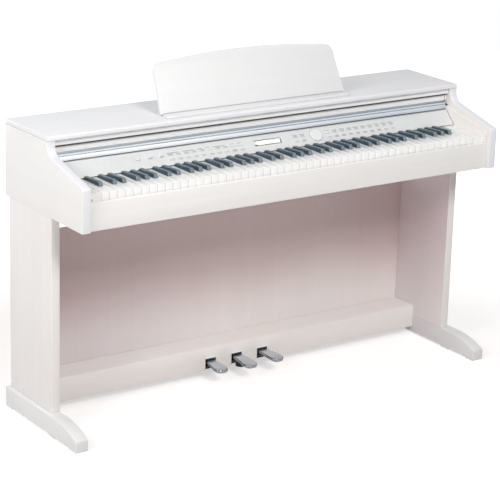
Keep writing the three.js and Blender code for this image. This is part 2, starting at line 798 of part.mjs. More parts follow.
// Music rest: a board on knuckles, a ledge before it, and a stay whose foot slides on the top board.
function musicRest(parent) {
  const ledgeFront = lidFront + ledge.setback;
  const [lx, corner] = [ledge.width / 2, ledge.radius];
  const plan = outline([
    [-lx, 0, corner],
    [lx, 0, corner],
    [lx, ledge.depth, corner],
    [-lx, ledge.depth, corner],
  ], 4);
  add(parent, "rest_ledge", runZ(plan, [seat, ledge.height]), paint, [0, ledgeFront, lidTop]);

  // The axis lies where the board's front face clears the ledge's rear edge.
  const behind = rest.axisOffset + rest.thickness;
  const reach = behind * Math.cos(rest.lean) + rest.heel * Math.sin(rest.lean) + seat;
  const axis = [0, ledgeFront + ledge.depth + reach, lidTop + rest.axisHeight];
  const frame = group(parent, axis, -rest.lean);
  const bottom = ledge.width / 2 + rest.beyondLedge;
  const top = bottom - rest.taper;
  const crownRadius = (top / Math.cos(rest.crown) - rest.shoulder) / Math.tan(rest.crown);
  const apex = rest.height + crownRadius / Math.cos(rest.crown) - crownRadius;
  const shoulder = apex - top * Math.tan(rest.crown);
  const face = outline([
    [-bottom, -rest.heel],
    [bottom, -rest.heel],
    [top, shoulder, rest.cornerRadius],
    [0, apex, crownRadius],
    [-top, shoulder, rest.cornerRadius],
  ], 10);
  const sheet = runY(face, [-behind, -rest.axisOffset]);
  const halfKnuckle = rest.knuckle / 2;
  const radius = rest.axisHeight - seat;
  const knuckles = [-1, 1].flatMap((side) => {
    const middle = side * (bottom - rest.knuckleInset);
    const x = [middle - halfKnuckle, middle + halfKnuckle];
    return [rodX(radius, x, 0, 0), boxOf(x, [-rest.axisOffset - seat, 0], [0, radius])];
  });
  const ears = [-1, 1].map((side) => {
    const near = side * (stay.halfWidth + seat);
    const far = side * (stay.halfWidth + seat + stay.ear);
    const x = [Math.min(near, far), Math.max(near, far)];
    return boxOf(x, [-rest.axisOffset - seat, stay.pin], [stay.reach - stay.pin, stay.reach + stay.pin]);
  });
  add(frame, "music_rest", joined(sheet, ...knuckles, ...ears), paint);

  const hinge = group(frame, [0, 0, stay.reach], 2 * rest.lean);
  const across = [-stay.halfWidth, stay.halfWidth];
  const arms = [-1, 1].map((side) => {
    const near = side * (stay.halfWidth - stay.arm);
    const far = side * stay.halfWidth;
    return boxOf([Math.min(near, far), Math.max(near, far)], [-stay.pin, stay.pin], [-stay.reach, 0]);
  });
  const bail = joined(rodX(stay.pin, across, 0, 0), rodX(stay.foot, across, 0, -stay.reach), ...arms);
  add(hinge, "rest_stay", bail, steel);
}

// Stand: side panels on feet, a kneeboard and a pedal box between them.
function stand(parent) {
  const legHalf = leg.thickness / 2;
  const legX = caseWidth / 2 - legHalf;
  const legBack = back - leg.back;
  const legZ = [foot.height + seat, underside - seat];
  const legBox = boxOf([-legHalf, legHalf], [front + leg.front, legBack], legZ);
  pair(parent, "side_panel", legBox, paint, legX);

  const footFront = front + foot.front;
  const footBack = back - foot.back;
  const humpRun = (foot.height - foot.tipHeight) / Math.tan(foot.tipSlope);
  const middle = footFront + foot.middlePad;
  const side = outline([
    [footFront, 0],
    [footFront, foot.tipHeight, foot.tipRadius],
    [footFront + humpRun, foot.height, foot.humpRadius],
    [footBack, foot.height, foot.tipRadius],
    [footBack, 0],
    [footBack - foot.padLength, 0],
    [footBack - foot.padLength, foot.pad],
    [middle + foot.padLength / 2, foot.pad],
    [middle + foot.padLength / 2, 0],
    [middle - foot.padLength / 2, 0],
    [middle - foot.padLength / 2, foot.pad],
    [footFront + foot.padLength, foot.pad],
    [footFront + foot.padLength, 0],
  ], 8);
  const footHalf = foot.width / 2;
  const footX = armInner + footHalf;
  pair(parent, "foot", runX(side, [-footHalf, footHalf]), footPaint, footX);

  const kneeFront = legBack - kneeboard.thickness;
  add(parent, "kneeboard", boxOf(whole, [kneeFront, legBack], [pedalBox.bottom, kneeboard.top]), paint);
  pedals(parent, kneeFront - seat);
}

function pedals(parent, boxBack) {
  const boxFront = boxBack - pedalBox.depth;
  const boxTop = pedalBox.bottom + pedalBox.height;
  const { board: sheet, bottom } = pedalBox;
  const section = outline([
    [boxFront, bottom],
    [boxFront, boxTop],
    [boxBack, boxTop],
    [boxBack, boxTop - sheet],
    [boxFront + sheet, boxTop - sheet],
    [boxFront + sheet, bottom],
  ]);
  const centres = [-1, 0, 1].map((n) => pedal.middleX + n * pedal.pitch);
  const halfSlot = pedalBox.slotWidth / 2;
  const slots = centres.map((x) =>
    boxOf(
      [x - halfSlot, x + halfSlot],
      [boxFront - overrun, boxFront + sheet + overrun],
      [bottom - overrun, pedalBox.slotTop],
    ),
  );
  add(parent, "pedal_box", cut(runX(section, whole), ...slots), paint);

  // The outer pedals fan out from their slots.
  const frames = centres.map((x, i) => {
    const frame = group(parent, [x, boxFront, 0]);
    frame.rotation.z = (i - 1) * pedal.fan;
    return frame;
  });
  ["left", "middle", "right"].forEach((name, i) => add(frames[i], `pedal_${name}`, lever(), pedalMetal));
  chassis(parent, centres, boxFront);

  const levellerTop = bottom + seat;
  const { radius, stem, base, edge } = leveller;
  const profile = [
    [0, 0],
    [radius - edge, 0],
    [radius, edge],
    [radius, base],
    [stem, base],
    [stem, levellerTop - seat],
    [0, levellerTop - seat],
  ].map(([r, z]) => new THREE.Vector2(r, z));
  const spindle = new THREE.LatheGeometry(profile, 24).rotateX(Math.PI / 2);
  const place = [leveller.x, boxFront + leveller.back, 0];
  add(parent, "levelling_foot", geometryOf(solidOf(spindle)), blackPlastic, place);
}

// A pedal in the frame of its slot: a narrow lever behind, which flares in front to a round tip.
function lever() {
  const [narrow, neck, wide] = [pedal.leverWidth / 2, pedal.rootWidth / 2, pedal.tipWidth / 2];
  const plan = outline([
    [-narrow, pedal.pivot],
    [-narrow, pedalBox.board],
    [-neck, 0],
    [-wide, -pedal.flare, pedal.flareRadius],
    [-wide, -pedal.reach, pedal.tipRadius],
    [wide, -pedal.reach, pedal.tipRadius],
    [wide, -pedal.flare, pedal.flareRadius],
    [neck, 0],
    [narrow, pedalBox.board],
    [narrow, pedal.pivot],
  ]);
  const axle = pedal.top - pedal.thickness / 2;
  const knuckle = rodX(pedal.knuckle, [-narrow, narrow], pedal.pivot, axle);
  return joined(runZ(plan, [pedal.top - pedal.thickness, pedal.top]), knuckle);
}

// The black chassis behind the slots, with a pair of ribs beside each pedal's knuckle.
function chassis(parent, centres, boxFront) {
  const { sheet, rib, openingTop, openingBottom, height, behind, margin, play } = pedalFrame;
  const low = pedalBox.bottom + seat;
  const plateFront = boxFront + pedalBox.board + seat;
  const rear = boxFront + pedal.pivot + behind;
  const section = bentSheet(
    [
      [rear, low + height],
      [rear, low],
      [plateFront, low],
      [plateFront, low + height],
    ],
    sheet,
  );
  const reach = pedalBox.slotWidth / 2 + margin;
  const x = [Math.min(...centres) - reach, Math.max(...centres) + reach];
  const half = pedal.leverWidth / 2;
  const openings = centres.map((c) =>
    boxOf(
      [c - half - play, c + half + play],
      [plateFront - overrun, plateFront + sheet + overrun],
      [openingBottom, openingTop],
    ),
  );
  const ribs = centres.flatMap((c, i) =>
    [-1, 1].map((side) => {
      const ends = [side * (half + seat), side * (half + seat + rib)].sort((a, b) => a - b);
      const depth = [pedal.pivot - pedal.knuckle, pedal.pivot + behind - sheet / 2];
      const plate = boxOf(ends, depth, [low + sheet / 2, pedal.top + pedal.knuckle / 2]);
      return plate.rotateZ((i - 1) * pedal.fan).translate(c, boxFront, 0);
    }),
  );
  add(parent, "pedal_frame", joined(cut(runX(section, x), ...openings), ...ribs), blackPlastic);
}

const body = group(piano);
sideArms(body);
caseBoards(body);
guidePlates(body);
keyBlocks(body);
keyboard(body);
keyCover(body);
controls(body);
musicRest(body);
stand(group(piano));

export default piano;
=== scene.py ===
# An electric console piano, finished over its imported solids.
# Metres: X to the player's right, Y from the player to the back, Z up.
import json
import math

import bmesh
import bpy
from mathutils import Matrix, Vector


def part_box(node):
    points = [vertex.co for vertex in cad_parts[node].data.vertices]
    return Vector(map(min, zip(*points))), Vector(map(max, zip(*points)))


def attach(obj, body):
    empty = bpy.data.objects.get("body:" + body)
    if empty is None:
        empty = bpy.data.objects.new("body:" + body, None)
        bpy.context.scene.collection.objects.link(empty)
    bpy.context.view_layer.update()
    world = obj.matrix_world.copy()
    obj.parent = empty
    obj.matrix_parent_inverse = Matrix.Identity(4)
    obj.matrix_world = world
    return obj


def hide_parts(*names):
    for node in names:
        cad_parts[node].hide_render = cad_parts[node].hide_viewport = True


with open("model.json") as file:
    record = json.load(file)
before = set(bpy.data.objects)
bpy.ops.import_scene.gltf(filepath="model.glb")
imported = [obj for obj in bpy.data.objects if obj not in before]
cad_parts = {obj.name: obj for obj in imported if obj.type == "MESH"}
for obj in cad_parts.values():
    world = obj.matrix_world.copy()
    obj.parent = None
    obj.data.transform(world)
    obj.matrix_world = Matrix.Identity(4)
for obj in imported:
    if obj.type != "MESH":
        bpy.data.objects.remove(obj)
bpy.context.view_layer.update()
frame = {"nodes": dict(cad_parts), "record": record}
scene = bpy.context.scene
mm = 0.001


def shown(name, data, place=(0, 0, 0), turn=Matrix()):
    made = bpy.data.objects.new(name, data)
    made.matrix_world = Matrix.Translation(place) @ turn
    scene.collection.objects.link(made)
    return made


# Camera
camera = dict(
    place=(-2.9493, -4.2050, 2.0092), right=(0.825700, -0.563401, 0.028336),
    up=(0.147001, 0.263391, 0.953423), forward=(0.544623, 0.783074, -0.300302), lens=138.354, sensor=36,
    clipEnd=100,
)


def makeCamera():
    data = bpy.data.cameras.new("camera")
    data.lens = camera["lens"]
    data.sensor_width = camera["sensor"]
    data.clip_end = camera["clipEnd"]
    columns = [Vector(camera["right"]), Vector(camera["up"]), -Vector(camera["forward"])]
    turn = Matrix(columns).transposed().to_4x4()
    scene.camera = shown("camera", data, camera["place"], turn)


makeCamera()
print("camera placed")


# Nodes
# A new node; an input is a value or another node's output socket
def put(tree, kind, inputs=None, **settings):
    made = tree.nodes.new(kind)
    for name, value in settings.items():
        setattr(made, name, value)
    for key, value in (inputs or {}).items():
        if isinstance(value, bpy.types.NodeSocket):
            tree.links.new(value, made.inputs[key])
        else:
            made.inputs[key].default_value = value
    return made


def feed(tree, target, values):
    for name, value in values.items():
        tree.links.new(value, target.inputs[name])


def math2(tree, operation, first, second):
    return put(tree, "ShaderNodeMath", {0: first, 1: second}, operation=operation).outputs[0]


def product(tree, first, second):
    return math2(tree, "MULTIPLY", first, second)


def ramp(tree, value, low, high, toLow=0.0, toHigh=1.0):
    inputs = {"Value": value, "From Min": low, "From Max": high, "To Min": toLow, "To Max": toHigh}
    return put(tree, "ShaderNodeMapRange", inputs).outputs["Result"]


def objectPlace(tree):
    return put(tree, "ShaderNodeTexCoord").outputs["Object"]


def axis(tree, place, letter):
    return put(tree, "ShaderNodeSeparateXYZ", {0: place}).outputs[letter]


# Studio: a white room with a lamp in front, a low one behind and one at the left
studio = dict(
    roomLight=0.33, roomColor=(0.985, 0.99, 1.0, 1), white=(1, 1, 1, 1), floorRadius=5, floorSides=64,
    floorColor=(0.60, 0.575, 0.565, 1), floorLift=(0.54, 1.0), liftRun=(0.9, 2.0),
)
# Name, place, aim, size, power and colour
lamps = [
    ("frontLamp", (-0.5, -4.5, 4.2), (0, 0, 0.45), 1.6, 176, (1.0, 0.985, 0.97)),
    ("backLamp", (-0.6, 4.8, 1.0), (0, 0, 0.5), 2.2, 62, (0.99, 0.99, 1.0)),
    ("sideLamp", (-4.2, -0.9, 3.0), (0, 0, 0.6), 2.4, 128, (1.0, 0.99, 0.985)),
]


# 1 for camera, glossy and transmission rays, 0 for the light on the piano
def seenDirectly(tree):
    path = put(tree, "ShaderNodeLightPath").outputs
    first = math2(tree, "MAXIMUM", path["Is Camera Ray"], path["Is Glossy Ray"])
    return math2(tree, "MAXIMUM", first, path["Is Transmission Ray"])


def makeRoom():
    world = bpy.data.worlds.new("whiteRoom")
    scene.world = world
    world.use_nodes = True
    tree = world.node_tree
    tree.nodes.clear()
    light = {"Color": studio["roomColor"], "Strength": studio["roomLight"]}
    room = put(tree, "ShaderNodeBackground", light)
    seen = put(tree, "ShaderNodeBackground", {"Color": studio["white"], "Strength": 1.0})
    parts = {0: seenDirectly(tree), 1: room.outputs[0], 2: seen.outputs[0]}
    mixed = put(tree, "ShaderNodeMixShader", parts)
    put(tree, "ShaderNodeOutputWorld", {"Surface": mixed.outputs[0]})


def makeLamps():
    for name, place, aim, size, power, color in lamps:
        data = bpy.data.lights.new(name, "AREA")
        data.size = size
        data.energy = power
        data.color = color
        turn = (Vector(aim) - Vector(place)).to_track_quat("-Z", "Y").to_matrix().to_4x4()
        shown(name, data, place, turn).visible_camera = False


# The floor keeps the piano's shadow and turns white to the eye away from it
def makeFloor():
    s = studio
    bm = bmesh.new()
    bmesh.ops.create_circle(bm, cap_ends=True, radius=s["floorRadius"], segments=s["floorSides"])
    mesh = bpy.data.meshes.new("floor")
    bm.to_mesh(mesh)
    bm.free()
    floor = shown("floor", mesh)
    cover = bpy.data.materials.new("floorPaint")
    cover.use_nodes = True
    tree = cover.node_tree
    tree.nodes.clear()
    matte = put(tree, "ShaderNodeBsdfDiffuse", {"Color": s["floorColor"]})
    away = put(tree, "ShaderNodeVectorMath", {0: objectPlace(tree)}, operation="LENGTH")
    rise = ramp(tree, away.outputs["Value"], *s["liftRun"], *s["floorLift"])
    lift = product(tree, seenDirectly(tree), rise)
    glow = put(tree, "ShaderNodeEmission", {"Color": s["white"], "Strength": lift})
    both = put(tree, "ShaderNodeAddShader", {0: matte.outputs[0], 1: glow.outputs[0]})
    put(tree, "ShaderNodeOutputMaterial", {"Surface": both.outputs[0]})
    mesh.materials.append(cover)


makeRoom()
makeLamps()
makeFloor()
scene.view_settings.view_transform = "Standard"
print("studio lit")

# Shared effects
# Each noise: stretch of its vector, scale, detail, roughness and distortion
noises = {
    "bands": ((1.2, 38, 38), 1.0, 5, 0.62, 0.35),
    "lines": ((7, 330, 330), 1.0, 3, 0.6, 0.0),
    "pores": ((60, 1500, 1500), 1.0, 1, 0.5, 0.0),
    "cloud": ((2.2, 5, 5), 1.0, 2, 0.5, 0.0),
    "marks": (None, 9.0, 4, 0.6, 0.4),
    "skin": (None, 1400.0, 2, 0.6, 0.0),
    "tone": (None, 14.0, 3, 0.5, 0.0),
    "fineHair": ((12, 2600, 2600), 1.0, 2, 0.6, 0.0),
    "broadHair": ((3, 160, 160), 1.0, 3, 0.6, 0.0),
    "patch": (None, 3.2, 2, 0.55, 0.0),
    "nap": (None, 1800.0, 3, 0.7, 0.0),
}
noiseShare = {"bands": 0.65, "lines": 0.35, "pores": 0.6, "fineHair": 0.6, "broadHair": 0.4}
noiseRange = {
    "streak": (0.36, 0.64), "cloud": (0.3, 0.7), "marks": (0.35, 0.7), "tone": (0.3, 0.7),
    "hair": (0.35, 0.65),
}


def noise(tree, vector, name):
    stretch, scale, detail, roughness, distortion = noises[name]
    if stretch:
        made = put(tree, "ShaderNodeMapping", {"Vector": vector, "Scale": stretch})
        vector = made.outputs["Vector"]
    inputs = {"Vector": vector, "Scale": scale, "Detail": detail}
    inputs |= {"Roughness": roughness, "Distortion": distortion}
    return put(tree, "ShaderNodeTexNoise", inputs).outputs["Fac"]


def noisePair(tree, values, names):
    first, second = (product(tree, values[name], noiseShare[name]) for name in names)
    return math2(tree, "ADD", first, second)


effects = {}


# A node group with a vector, factors of 1 and named outputs, and its two end nodes
def effect(name, factors, outputs):
    tree = effects[name] = bpy.data.node_groups.new(name, "ShaderNodeTree")
    socket = tree.interface.new_socket
    socket(name="Vector", in_out="INPUT", socket_type="NodeSocketVector")
    for label in factors:
        socket(name=label, in_out="INPUT", socket_type="NodeSocketFloat").default_value = 1.0
    for label in outputs:
        socket(name=label, in_out="OUTPUT", socket_type="NodeSocketFloat")
    return tree, tree.nodes.new("NodeGroupInput"), tree.nodes.new("NodeGroupOutput")


def spread(tree, source, factor):
    inputs = {0: source.outputs["Vector"], "Scale": source.outputs[factor]}
    return put(tree, "ShaderNodeVectorMath", inputs, operation="SCALE").outputs[0]


# Streaks and pores of a printed board, along X
def makeWoodGrain():
    tree, source, result = effect("woodGrain", ["Fineness"], ["Streak", "Cloud", "Height"])
    place = spread(tree, source, "Fineness")
    parts = {name: noise(tree, place, name) for name in ("bands", "lines", "pores", "cloud")}
    streak = noisePair(tree, parts, ("bands", "lines"))
    pores = product(tree, parts["pores"], noiseShare["pores"])
    ends = {
        "Streak": ramp(tree, streak, *noiseRange["streak"]),
        "Cloud": ramp(tree, parts["cloud"], *noiseRange["cloud"]),
        "Height": math2(tree, "ADD", parts["lines"], pores),
    }
    feed(tree, result, ends)


def makeHandling():
    tree, source, result = effect("handling", ["Size"], ["Marks"])
    marks = noise(tree, spread(tree, source, "Size"), "marks")
    feed(tree, result, {"Marks": ramp(tree, marks, *noiseRange["marks"])})


# The fine skin of moulded plastic
def makeMoulded():
    tree, source, result = effect("mouldedSkin", ["Fineness"], ["Tone", "Height"])
    place = spread(tree, source, "Fineness")
    tone = ramp(tree, noise(tree, place, "tone"), *noiseRange["tone"])
    feed(tree, result, {"Tone": tone, "Height": noise(tree, place, "skin")})


# Hair lines of brushed metal along X
def makeBrushed():
    tree, source, result = effect("brushedLines", [], ["Lines", "Height"])
    place = source.outputs["Vector"]
    parts = {name: noise(tree, place, name) for name in ("fineHair", "broadHair")}
    lines = ramp(tree, noisePair(tree, parts, parts), *noiseRange["hair"])
    feed(tree, result, {"Lines": lines, "Height": parts["fineHair"]})


for make in (makeWoodGrain, makeHandling, makeMoulded, makeBrushed):
    make()


def useEffect(tree, name, place, **factors):
    inputs = {"Vector": place, **factors}
    return put(tree, "ShaderNodeGroup", inputs, node_tree=effects[name]).outputs


# Colours are three values or another node's output
def opaque(color):
    return (*color, 1) if isinstance(color, tuple) else color


def mix(tree, share, first, second, blend="MIX"):
    inputs = {0: share, 6: opaque(first), 7: opaque(second)}
    return put(tree, "ShaderNodeMix", inputs, data_type="RGBA", blend_type=blend).outputs[2]


def tinted(tree, color, tone):
    return mix(tree, 1.0, color, tone, "MULTIPLY")


# Stops are positions from 0 to 1 with their colours
def colorRamp(tree, value, stops):
    made = put(tree, "ShaderNodeValToRGB", {0: value})
    elements = made.color_ramp.elements
    elements[0].color = opaque(stops[0][1])
    elements[1].color = opaque(stops[-1][1])
    for at, color in stops[1:-1]:
        elements.new(at).color = opaque(color)
    return made.outputs["Color"]


def newMaterial(name, roughness=0.5, metallic=0.0, coat=0.0):
    made = bpy.data.materials.new(name)
    made.use_nodes = True
    tree = made.node_tree
    shader = tree.nodes["Principled BSDF"]
    shader.inputs["Roughness"].default_value = roughness
    shader.inputs["Metallic"].default_value = metallic
    shader.inputs["Coat Weight"].default_value = coat
    return made, tree, shader, objectPlace(tree)


def reopened(made):
    tree = made.node_tree
    shader = tree.nodes["Principled BSDF"]
    return tree, shader, shader.inputs["Base Color"].links[0].from_socket, objectPlace(tree)


def paint(tree, shader, color, **more):
    feed(tree, shader, {"Base Color": color, **more})


def bump(tree, shader, height, distance, strength):
    inputs = {"Height": height, "Distance": distance, "Strength": strength}
    feed(tree, shader, {"Normal": put(tree, "ShaderNodeBump", inputs).outputs["Normal"]})


# Finishes
boardTurn = {"x": (0, 0, 0), "y": (0, 0, math.radians(-90)), "z": (0, math.radians(90), 0)}
board = dict(
    light=(0.855, 0.852, 0.844), dark=(0.790, 0.779, 0.765), streak=0.55, cloud=0.25,
    cloudTone=(1, 0.99, 0.98), markSize=1.0, gloss=(0.38, 0.5), relief=(0.00006, 0.35),
)


def alongAxis(tree, place, letter):
    inputs = {"Vector": place, "Rotation": boardTurn[letter]}
    return put(tree, "ShaderNodeMapping", inputs).outputs["Vector"]


# White laminate with a faint printed grain along one axis
def whiteBoard(name, along, light=board["light"], dark=board["dark"], fineness=1.0):
    made, tree, shader, place = newMaterial(name)
    vector = alongAxis(tree, place, along)
    grain = useEffect(tree, "woodGrain", vector, Fineness=fineness)
    used = useEffect(tree, "handling", place, Size=board["markSize"])
    color = mix(tree, product(tree, grain["Streak"], board["streak"]), light, dark)
    cloudy = tuple(value * tone for value, tone in zip(dark, board["cloudTone"]))
    color = mix(tree, product(tree, grain["Cloud"], board["cloud"]), color, cloudy)
    gloss = ramp(tree, used["Marks"], 0, 1, *board["gloss"])
    paint(tree, shader, color, Roughness=gloss)
    bump(tree, shader, grain["Height"], *board["relief"])
    return made


knee = dict(
    light=(0.88, 0.85, 0.84), dark=(0.83, 0.785, 0.768), fineness=0.8, patch=0.08, height=0.6,
    # Painted shade by height, from the board's foot up to the keybed
    stops=[
        (0, (1.0, 1.0, 1.0)), (0.3, (0.93, 0.91, 0.912)),
        (0.55, (0.78, 0.665, 0.662)), (1, (0.865, 0.725, 0.715)),
    ],
    # Painted shade in the lower left corner
    shadeCornerX=(-0.6, 0.0), shadeCornerZ=(0.3, 0.5), cornerShadeTone=(0.83, 0.81, 0.83),
)


# The board behind the knees, with painted shade: pinker and darker upwards under the keybed, and in its
# lower left corner
def kneeShadePainted(name):
    k = knee
    made = whiteBoard(name, "z", k["light"], k["dark"], k["fineness"])
    tree, shader, pale, place = reopened(made)
    rise, across = axis(tree, place, "Z"), axis(tree, place, "X")
    patch = product(tree, noise(tree, place, "patch"), k["patch"])
    height = ramp(tree, math2(tree, "ADD", rise, patch), 0, k["height"])
    toned = tinted(tree, pale, colorRamp(tree, height, k["stops"]))
    left = ramp(tree, across, *k["shadeCornerX"], 1, 0)
    corner = product(tree, left, ramp(tree, rise, *k["shadeCornerZ"], 1, 0))
    deep = tinted(tree, toned, k["cornerShadeTone"])
    paint(tree, shader, mix(tree, corner, toned, deep))
    return made


# Axis, run and tone of each finish that takes painted shade along that axis
shadeRuns = {
    # The legs' inward faces: painted shade, darker and pinker upwards under the case
    "legInside": ("Z", (0.1, 0.35), (0.91, 0.825, 0.86)),
    # The grip and its lip: painted reflection, darker towards the right end
    "grip": ("X", (-0.4, 0.45), (0.84, 0.86, 0.885)),
    "gripLip": ("X", (-0.4, 0.45), (0.70, 0.74, 0.78)),
}


# Painted shade: a finish passes into its own colour times a tone
def paintShadeRun(look):
    letter, run, tone = shadeRuns[look]
    tree, shader, color, place = reopened(finish[look])
    share = ramp(tree, axis(tree, place, letter), *run)
    paint(tree, shader, mix(tree, share, color, tinted(tree, color, tone)))


plastic = dict(markSize=3.0, depth=0.00003, strength=0.4)


# Moulded plastic: two close tones, a fine skin and marks that change its gloss
def moulded(name, color, shade, rough, fineness=1.0, depth=plastic["depth"], coat=0.0):
    made, tree, shader, place = newMaterial(name, coat=coat)
    skin = useEffect(tree, "mouldedSkin", place, Fineness=fineness)
    used = useEffect(tree, "handling", place, Size=plastic["markSize"])
    toned = mix(tree, skin["Tone"], color, shade)
    paint(tree, shader, toned, Roughness=ramp(tree, used["Marks"], 0, 1, *rough))
    bump(tree, shader, skin["Height"], depth, plastic["strength"])
    return made


metal = dict(
    # The cove entries give the painted shade in the grip's cove: height band, levels and colour
    relief=(0.00001, 0.3), coveShadeRun=(0.7405, 0.755),
    coveShadeLevels=[(0, 0.0), (0.36, 0.0), (0.5, 0.3), (0.66, 0.92), (0.8, 0.8), (1, 0.2)],
    coveShadeColor=(0.23, 0.26, 0.295),
)


def brushed(name, color, shade, rough, along="x"):
    made, tree, shader, place = newMaterial(name, metallic=1.0)
    lines = useEffect(tree, "brushedLines", alongAxis(tree, place, along))
    toned = mix(tree, lines["Lines"], color, shade)
    paint(tree, shader, toned, Roughness=ramp(tree, lines["Lines"], 0, 1, *rough))
    bump(tree, shader, lines["Height"], *metal["relief"])
    return made


# Painted shade: the metal darker up in the grip's cove
def paintCoveShade(made):
    tree, shader, light, place = reopened(made)
    rise = ramp(tree, axis(tree, place, "Z"), *metal["coveShadeRun"])
    shade = colorRamp(tree, rise, [(at, (level,) * 3) for at, level in metal["coveShadeLevels"]])
    paint(tree, shader, mix(tree, shade, light, metal["coveShadeColor"]))


def solderGreen(name):
    made, tree, shader, place = newMaterial(name, roughness=0.4)
    brick = {"Vector": place, "Scale": 60.0, "Mortar Size": 0.06}
    tracks = put(tree, "ShaderNodeTexBrick", brick).outputs["Fac"]
    paint(tree, shader, mix(tree, tracks, (0.03, 0.16, 0.07), (0.08, 0.28, 0.13)))
    bump(tree, shader, tracks, 0.00005, 0.4)
    return made


# Pale screen with its grid of dots and a faint glow: painted light that makes up for the shade behind the
# pane
def displayScreen(name):
    made, tree, shader, place = newMaterial(name, roughness=0.35)
    brick = {"Vector": place, "Scale": 420.0, "Mortar Size": 0.03}
    dots = put(tree, "ShaderNodeTexBrick", brick, offset=0.0).outputs["Fac"]
    pale = mix(tree, dots, (0.86, 0.90, 0.86), (0.80, 0.85, 0.82))
    feed(tree, shader, {"Base Color": pale, "Emission Color": pale})
    shader.inputs["Emission Strength"].default_value = 0.5
    return made


def clearPane(name):
    made, tree, shader, place = newMaterial(name, roughness=0.04)
    shader.inputs["Transmission Weight"].default_value = 1.0
    shader.inputs["IOR"].default_value = 1.45
    used = useEffect(tree, "handling", place, Size=6.0)
    clear = mix(tree, used["Marks"], (0.99, 1.0, 0.99), (0.95, 0.97, 0.96))
    paint(tree, shader, clear)
    return made


def feltCloth(name, deep, pale):
    made, tree, shader, place = newMaterial(name, roughness=0.95)
    shader.inputs["Sheen Weight"].default_value = 0.4
    nap = noise(tree, place, "nap")
    paint(tree, shader, mix(tree, nap, deep, pale))
    bump(tree, shader, nap, 0.0003, 0.6)
    return made


# Maker, tones and gloss range of each finish; some add fineness, skin depth and coat
recipes = {
    "boardX": (whiteBoard, "x"),
    "boardY": (whiteBoard, "y"),
    "boardZ": (whiteBoard, "z"),
    # A darker copy of the white board for the rest and its ledge, which face the lamps: painted shade
    "restBoard": (whiteBoard, "x", (0.78, 0.785, 0.79), (0.74, 0.742, 0.745)),
    # A brighter copy of the white board for the fascia and cover, under the lid's overhang: painted light
    "trimBoard": (whiteBoard, "x", (0.93, 0.93, 0.932), (0.885, 0.88, 0.878)),
    "lidBoard": (whiteBoard, "x", (0.826, 0.834, 0.858), (0.766, 0.776, 0.806), 1.3),
    # The legs' laminate made darker than the arms': painted shade
    "legBoard": (whiteBoard, "z", (0.83, 0.813, 0.802), (0.77, 0.743, 0.726)),
    "kneeBoard": (kneeShadePainted,),
    # The legs' inward faces: a pinker copy of the leg board, painted shade
    "legInside": (whiteBoard, "z", (0.89, 0.845, 0.845), (0.83, 0.775, 0.77)),
    # A darker copy of the arms' board for their inward faces and the guide plates: painted shade
    "armInside": (whiteBoard, "y", (0.80, 0.775, 0.755), (0.74, 0.71, 0.685)),
    "edgeBand": (moulded, (0.80, 0.81, 0.845), (0.775, 0.787, 0.823), (0.3, 0.42)),
    "boxBoard": (whiteBoard, "x", (0.88, 0.845, 0.83), (0.83, 0.785, 0.765)),
    "footWhite": (moulded, (0.775, 0.775, 0.78), (0.74, 0.74, 0.745), (0.35, 0.5)),
    "keyWhite": (moulded, (0.905, 0.905, 0.90), (0.88, 0.878, 0.868), (0.12, 0.24), 1, 0.000006, 0.3),
    # Lighter copies of the black keys' plastic for slopes and tops: painted highlights
    "keyFront": (moulded, (0.14, 0.175, 0.205), (0.17, 0.205, 0.235), (0.2, 0.3), 1.6, 0.00001, 0.5),
    "keyBlack": (moulded, (0.034, 0.056, 0.080), (0.044, 0.070, 0.096), (0.34, 0.44), 1.6, 0.00002),
    "keyTop": (moulded, (0.088, 0.118, 0.142), (0.105, 0.138, 0.162), (0.34, 0.44), 1.6, 0.00002),
    "panel": (moulded, (0.705, 0.715, 0.72), (0.68, 0.69, 0.695), (0.3, 0.42), 2.0, 0.00002),
    "button": (moulded, (0.735, 0.745, 0.75), (0.71, 0.72, 0.725), (0.22, 0.34), 2.5, 0.00001),
    "dial": (moulded, (0.775, 0.785, 0.79), (0.755, 0.765, 0.77), (0.16, 0.26), 2.5, 0.00001, 0.3),
    "ink": (moulded, (0.40, 0.405, 0.415), (0.46, 0.465, 0.475), (0.4, 0.55), 3.0, 0.00001),
    "greyMark": (moulded, (0.40, 0.41, 0.42), (0.46, 0.47, 0.48), (0.4, 0.55), 3.0, 0.00001),
    "grip": (brushed, (0.84, 0.89, 0.93), (0.89, 0.93, 0.96), (0.2, 0.3)),
    "gripLip": (brushed, (0.90, 0.92, 0.94), (0.94, 0.955, 0.97), (0.36, 0.44)),
    "pedal": (brushed, (0.60, 0.655, 0.71), (0.68, 0.73, 0.78), (0.26, 0.4), "y"),
    # A darker copy of the pedal metal for the levers' edges: painted dark reflection
    "pedalEdge": (brushed, (0.235, 0.25, 0.27), (0.32, 0.335, 0.355), (0.06, 0.14), "y"),
    "platedSteel": (brushed, (0.55, 0.56, 0.57), (0.65, 0.66, 0.67), (0.25, 0.4)),
    "blackMetal": (moulded, (0.018, 0.018, 0.02), (0.028, 0.028, 0.03), (0.3, 0.5), 1.5),
    "blackPlastic": (moulded, (0.022, 0.022, 0.024), (0.034, 0.034, 0.037), (0.4, 0.6), 1.5, 0.00004),
    "screen": (displayScreen,),
    "pane": (clearPane,),
    "felt": (feltCloth, (0.09, 0.016, 0.018), (0.18, 0.035, 0.04)),
    # A grey cloth for the strip at the rest's foot: painted contact shade
    "greyFelt": (feltCloth, (0.30, 0.30, 0.31), (0.42, 0.42, 0.43)),
    "circuit": (solderGreen,),
}
finish = {name: maker(name, *look) for name, (maker, *look) in recipes.items()}
paintCoveShade(finish["grip"])
for look in shadeRuns:
    paintShadeRun(look)
satinSpecular = 0.3
for look in ("keyBlack", "keyTop"):
    shader = finish[look].node_tree.nodes["Principled BSDF"]
    shader.inputs["Specular IOR Level"].default_value = satinSpecular
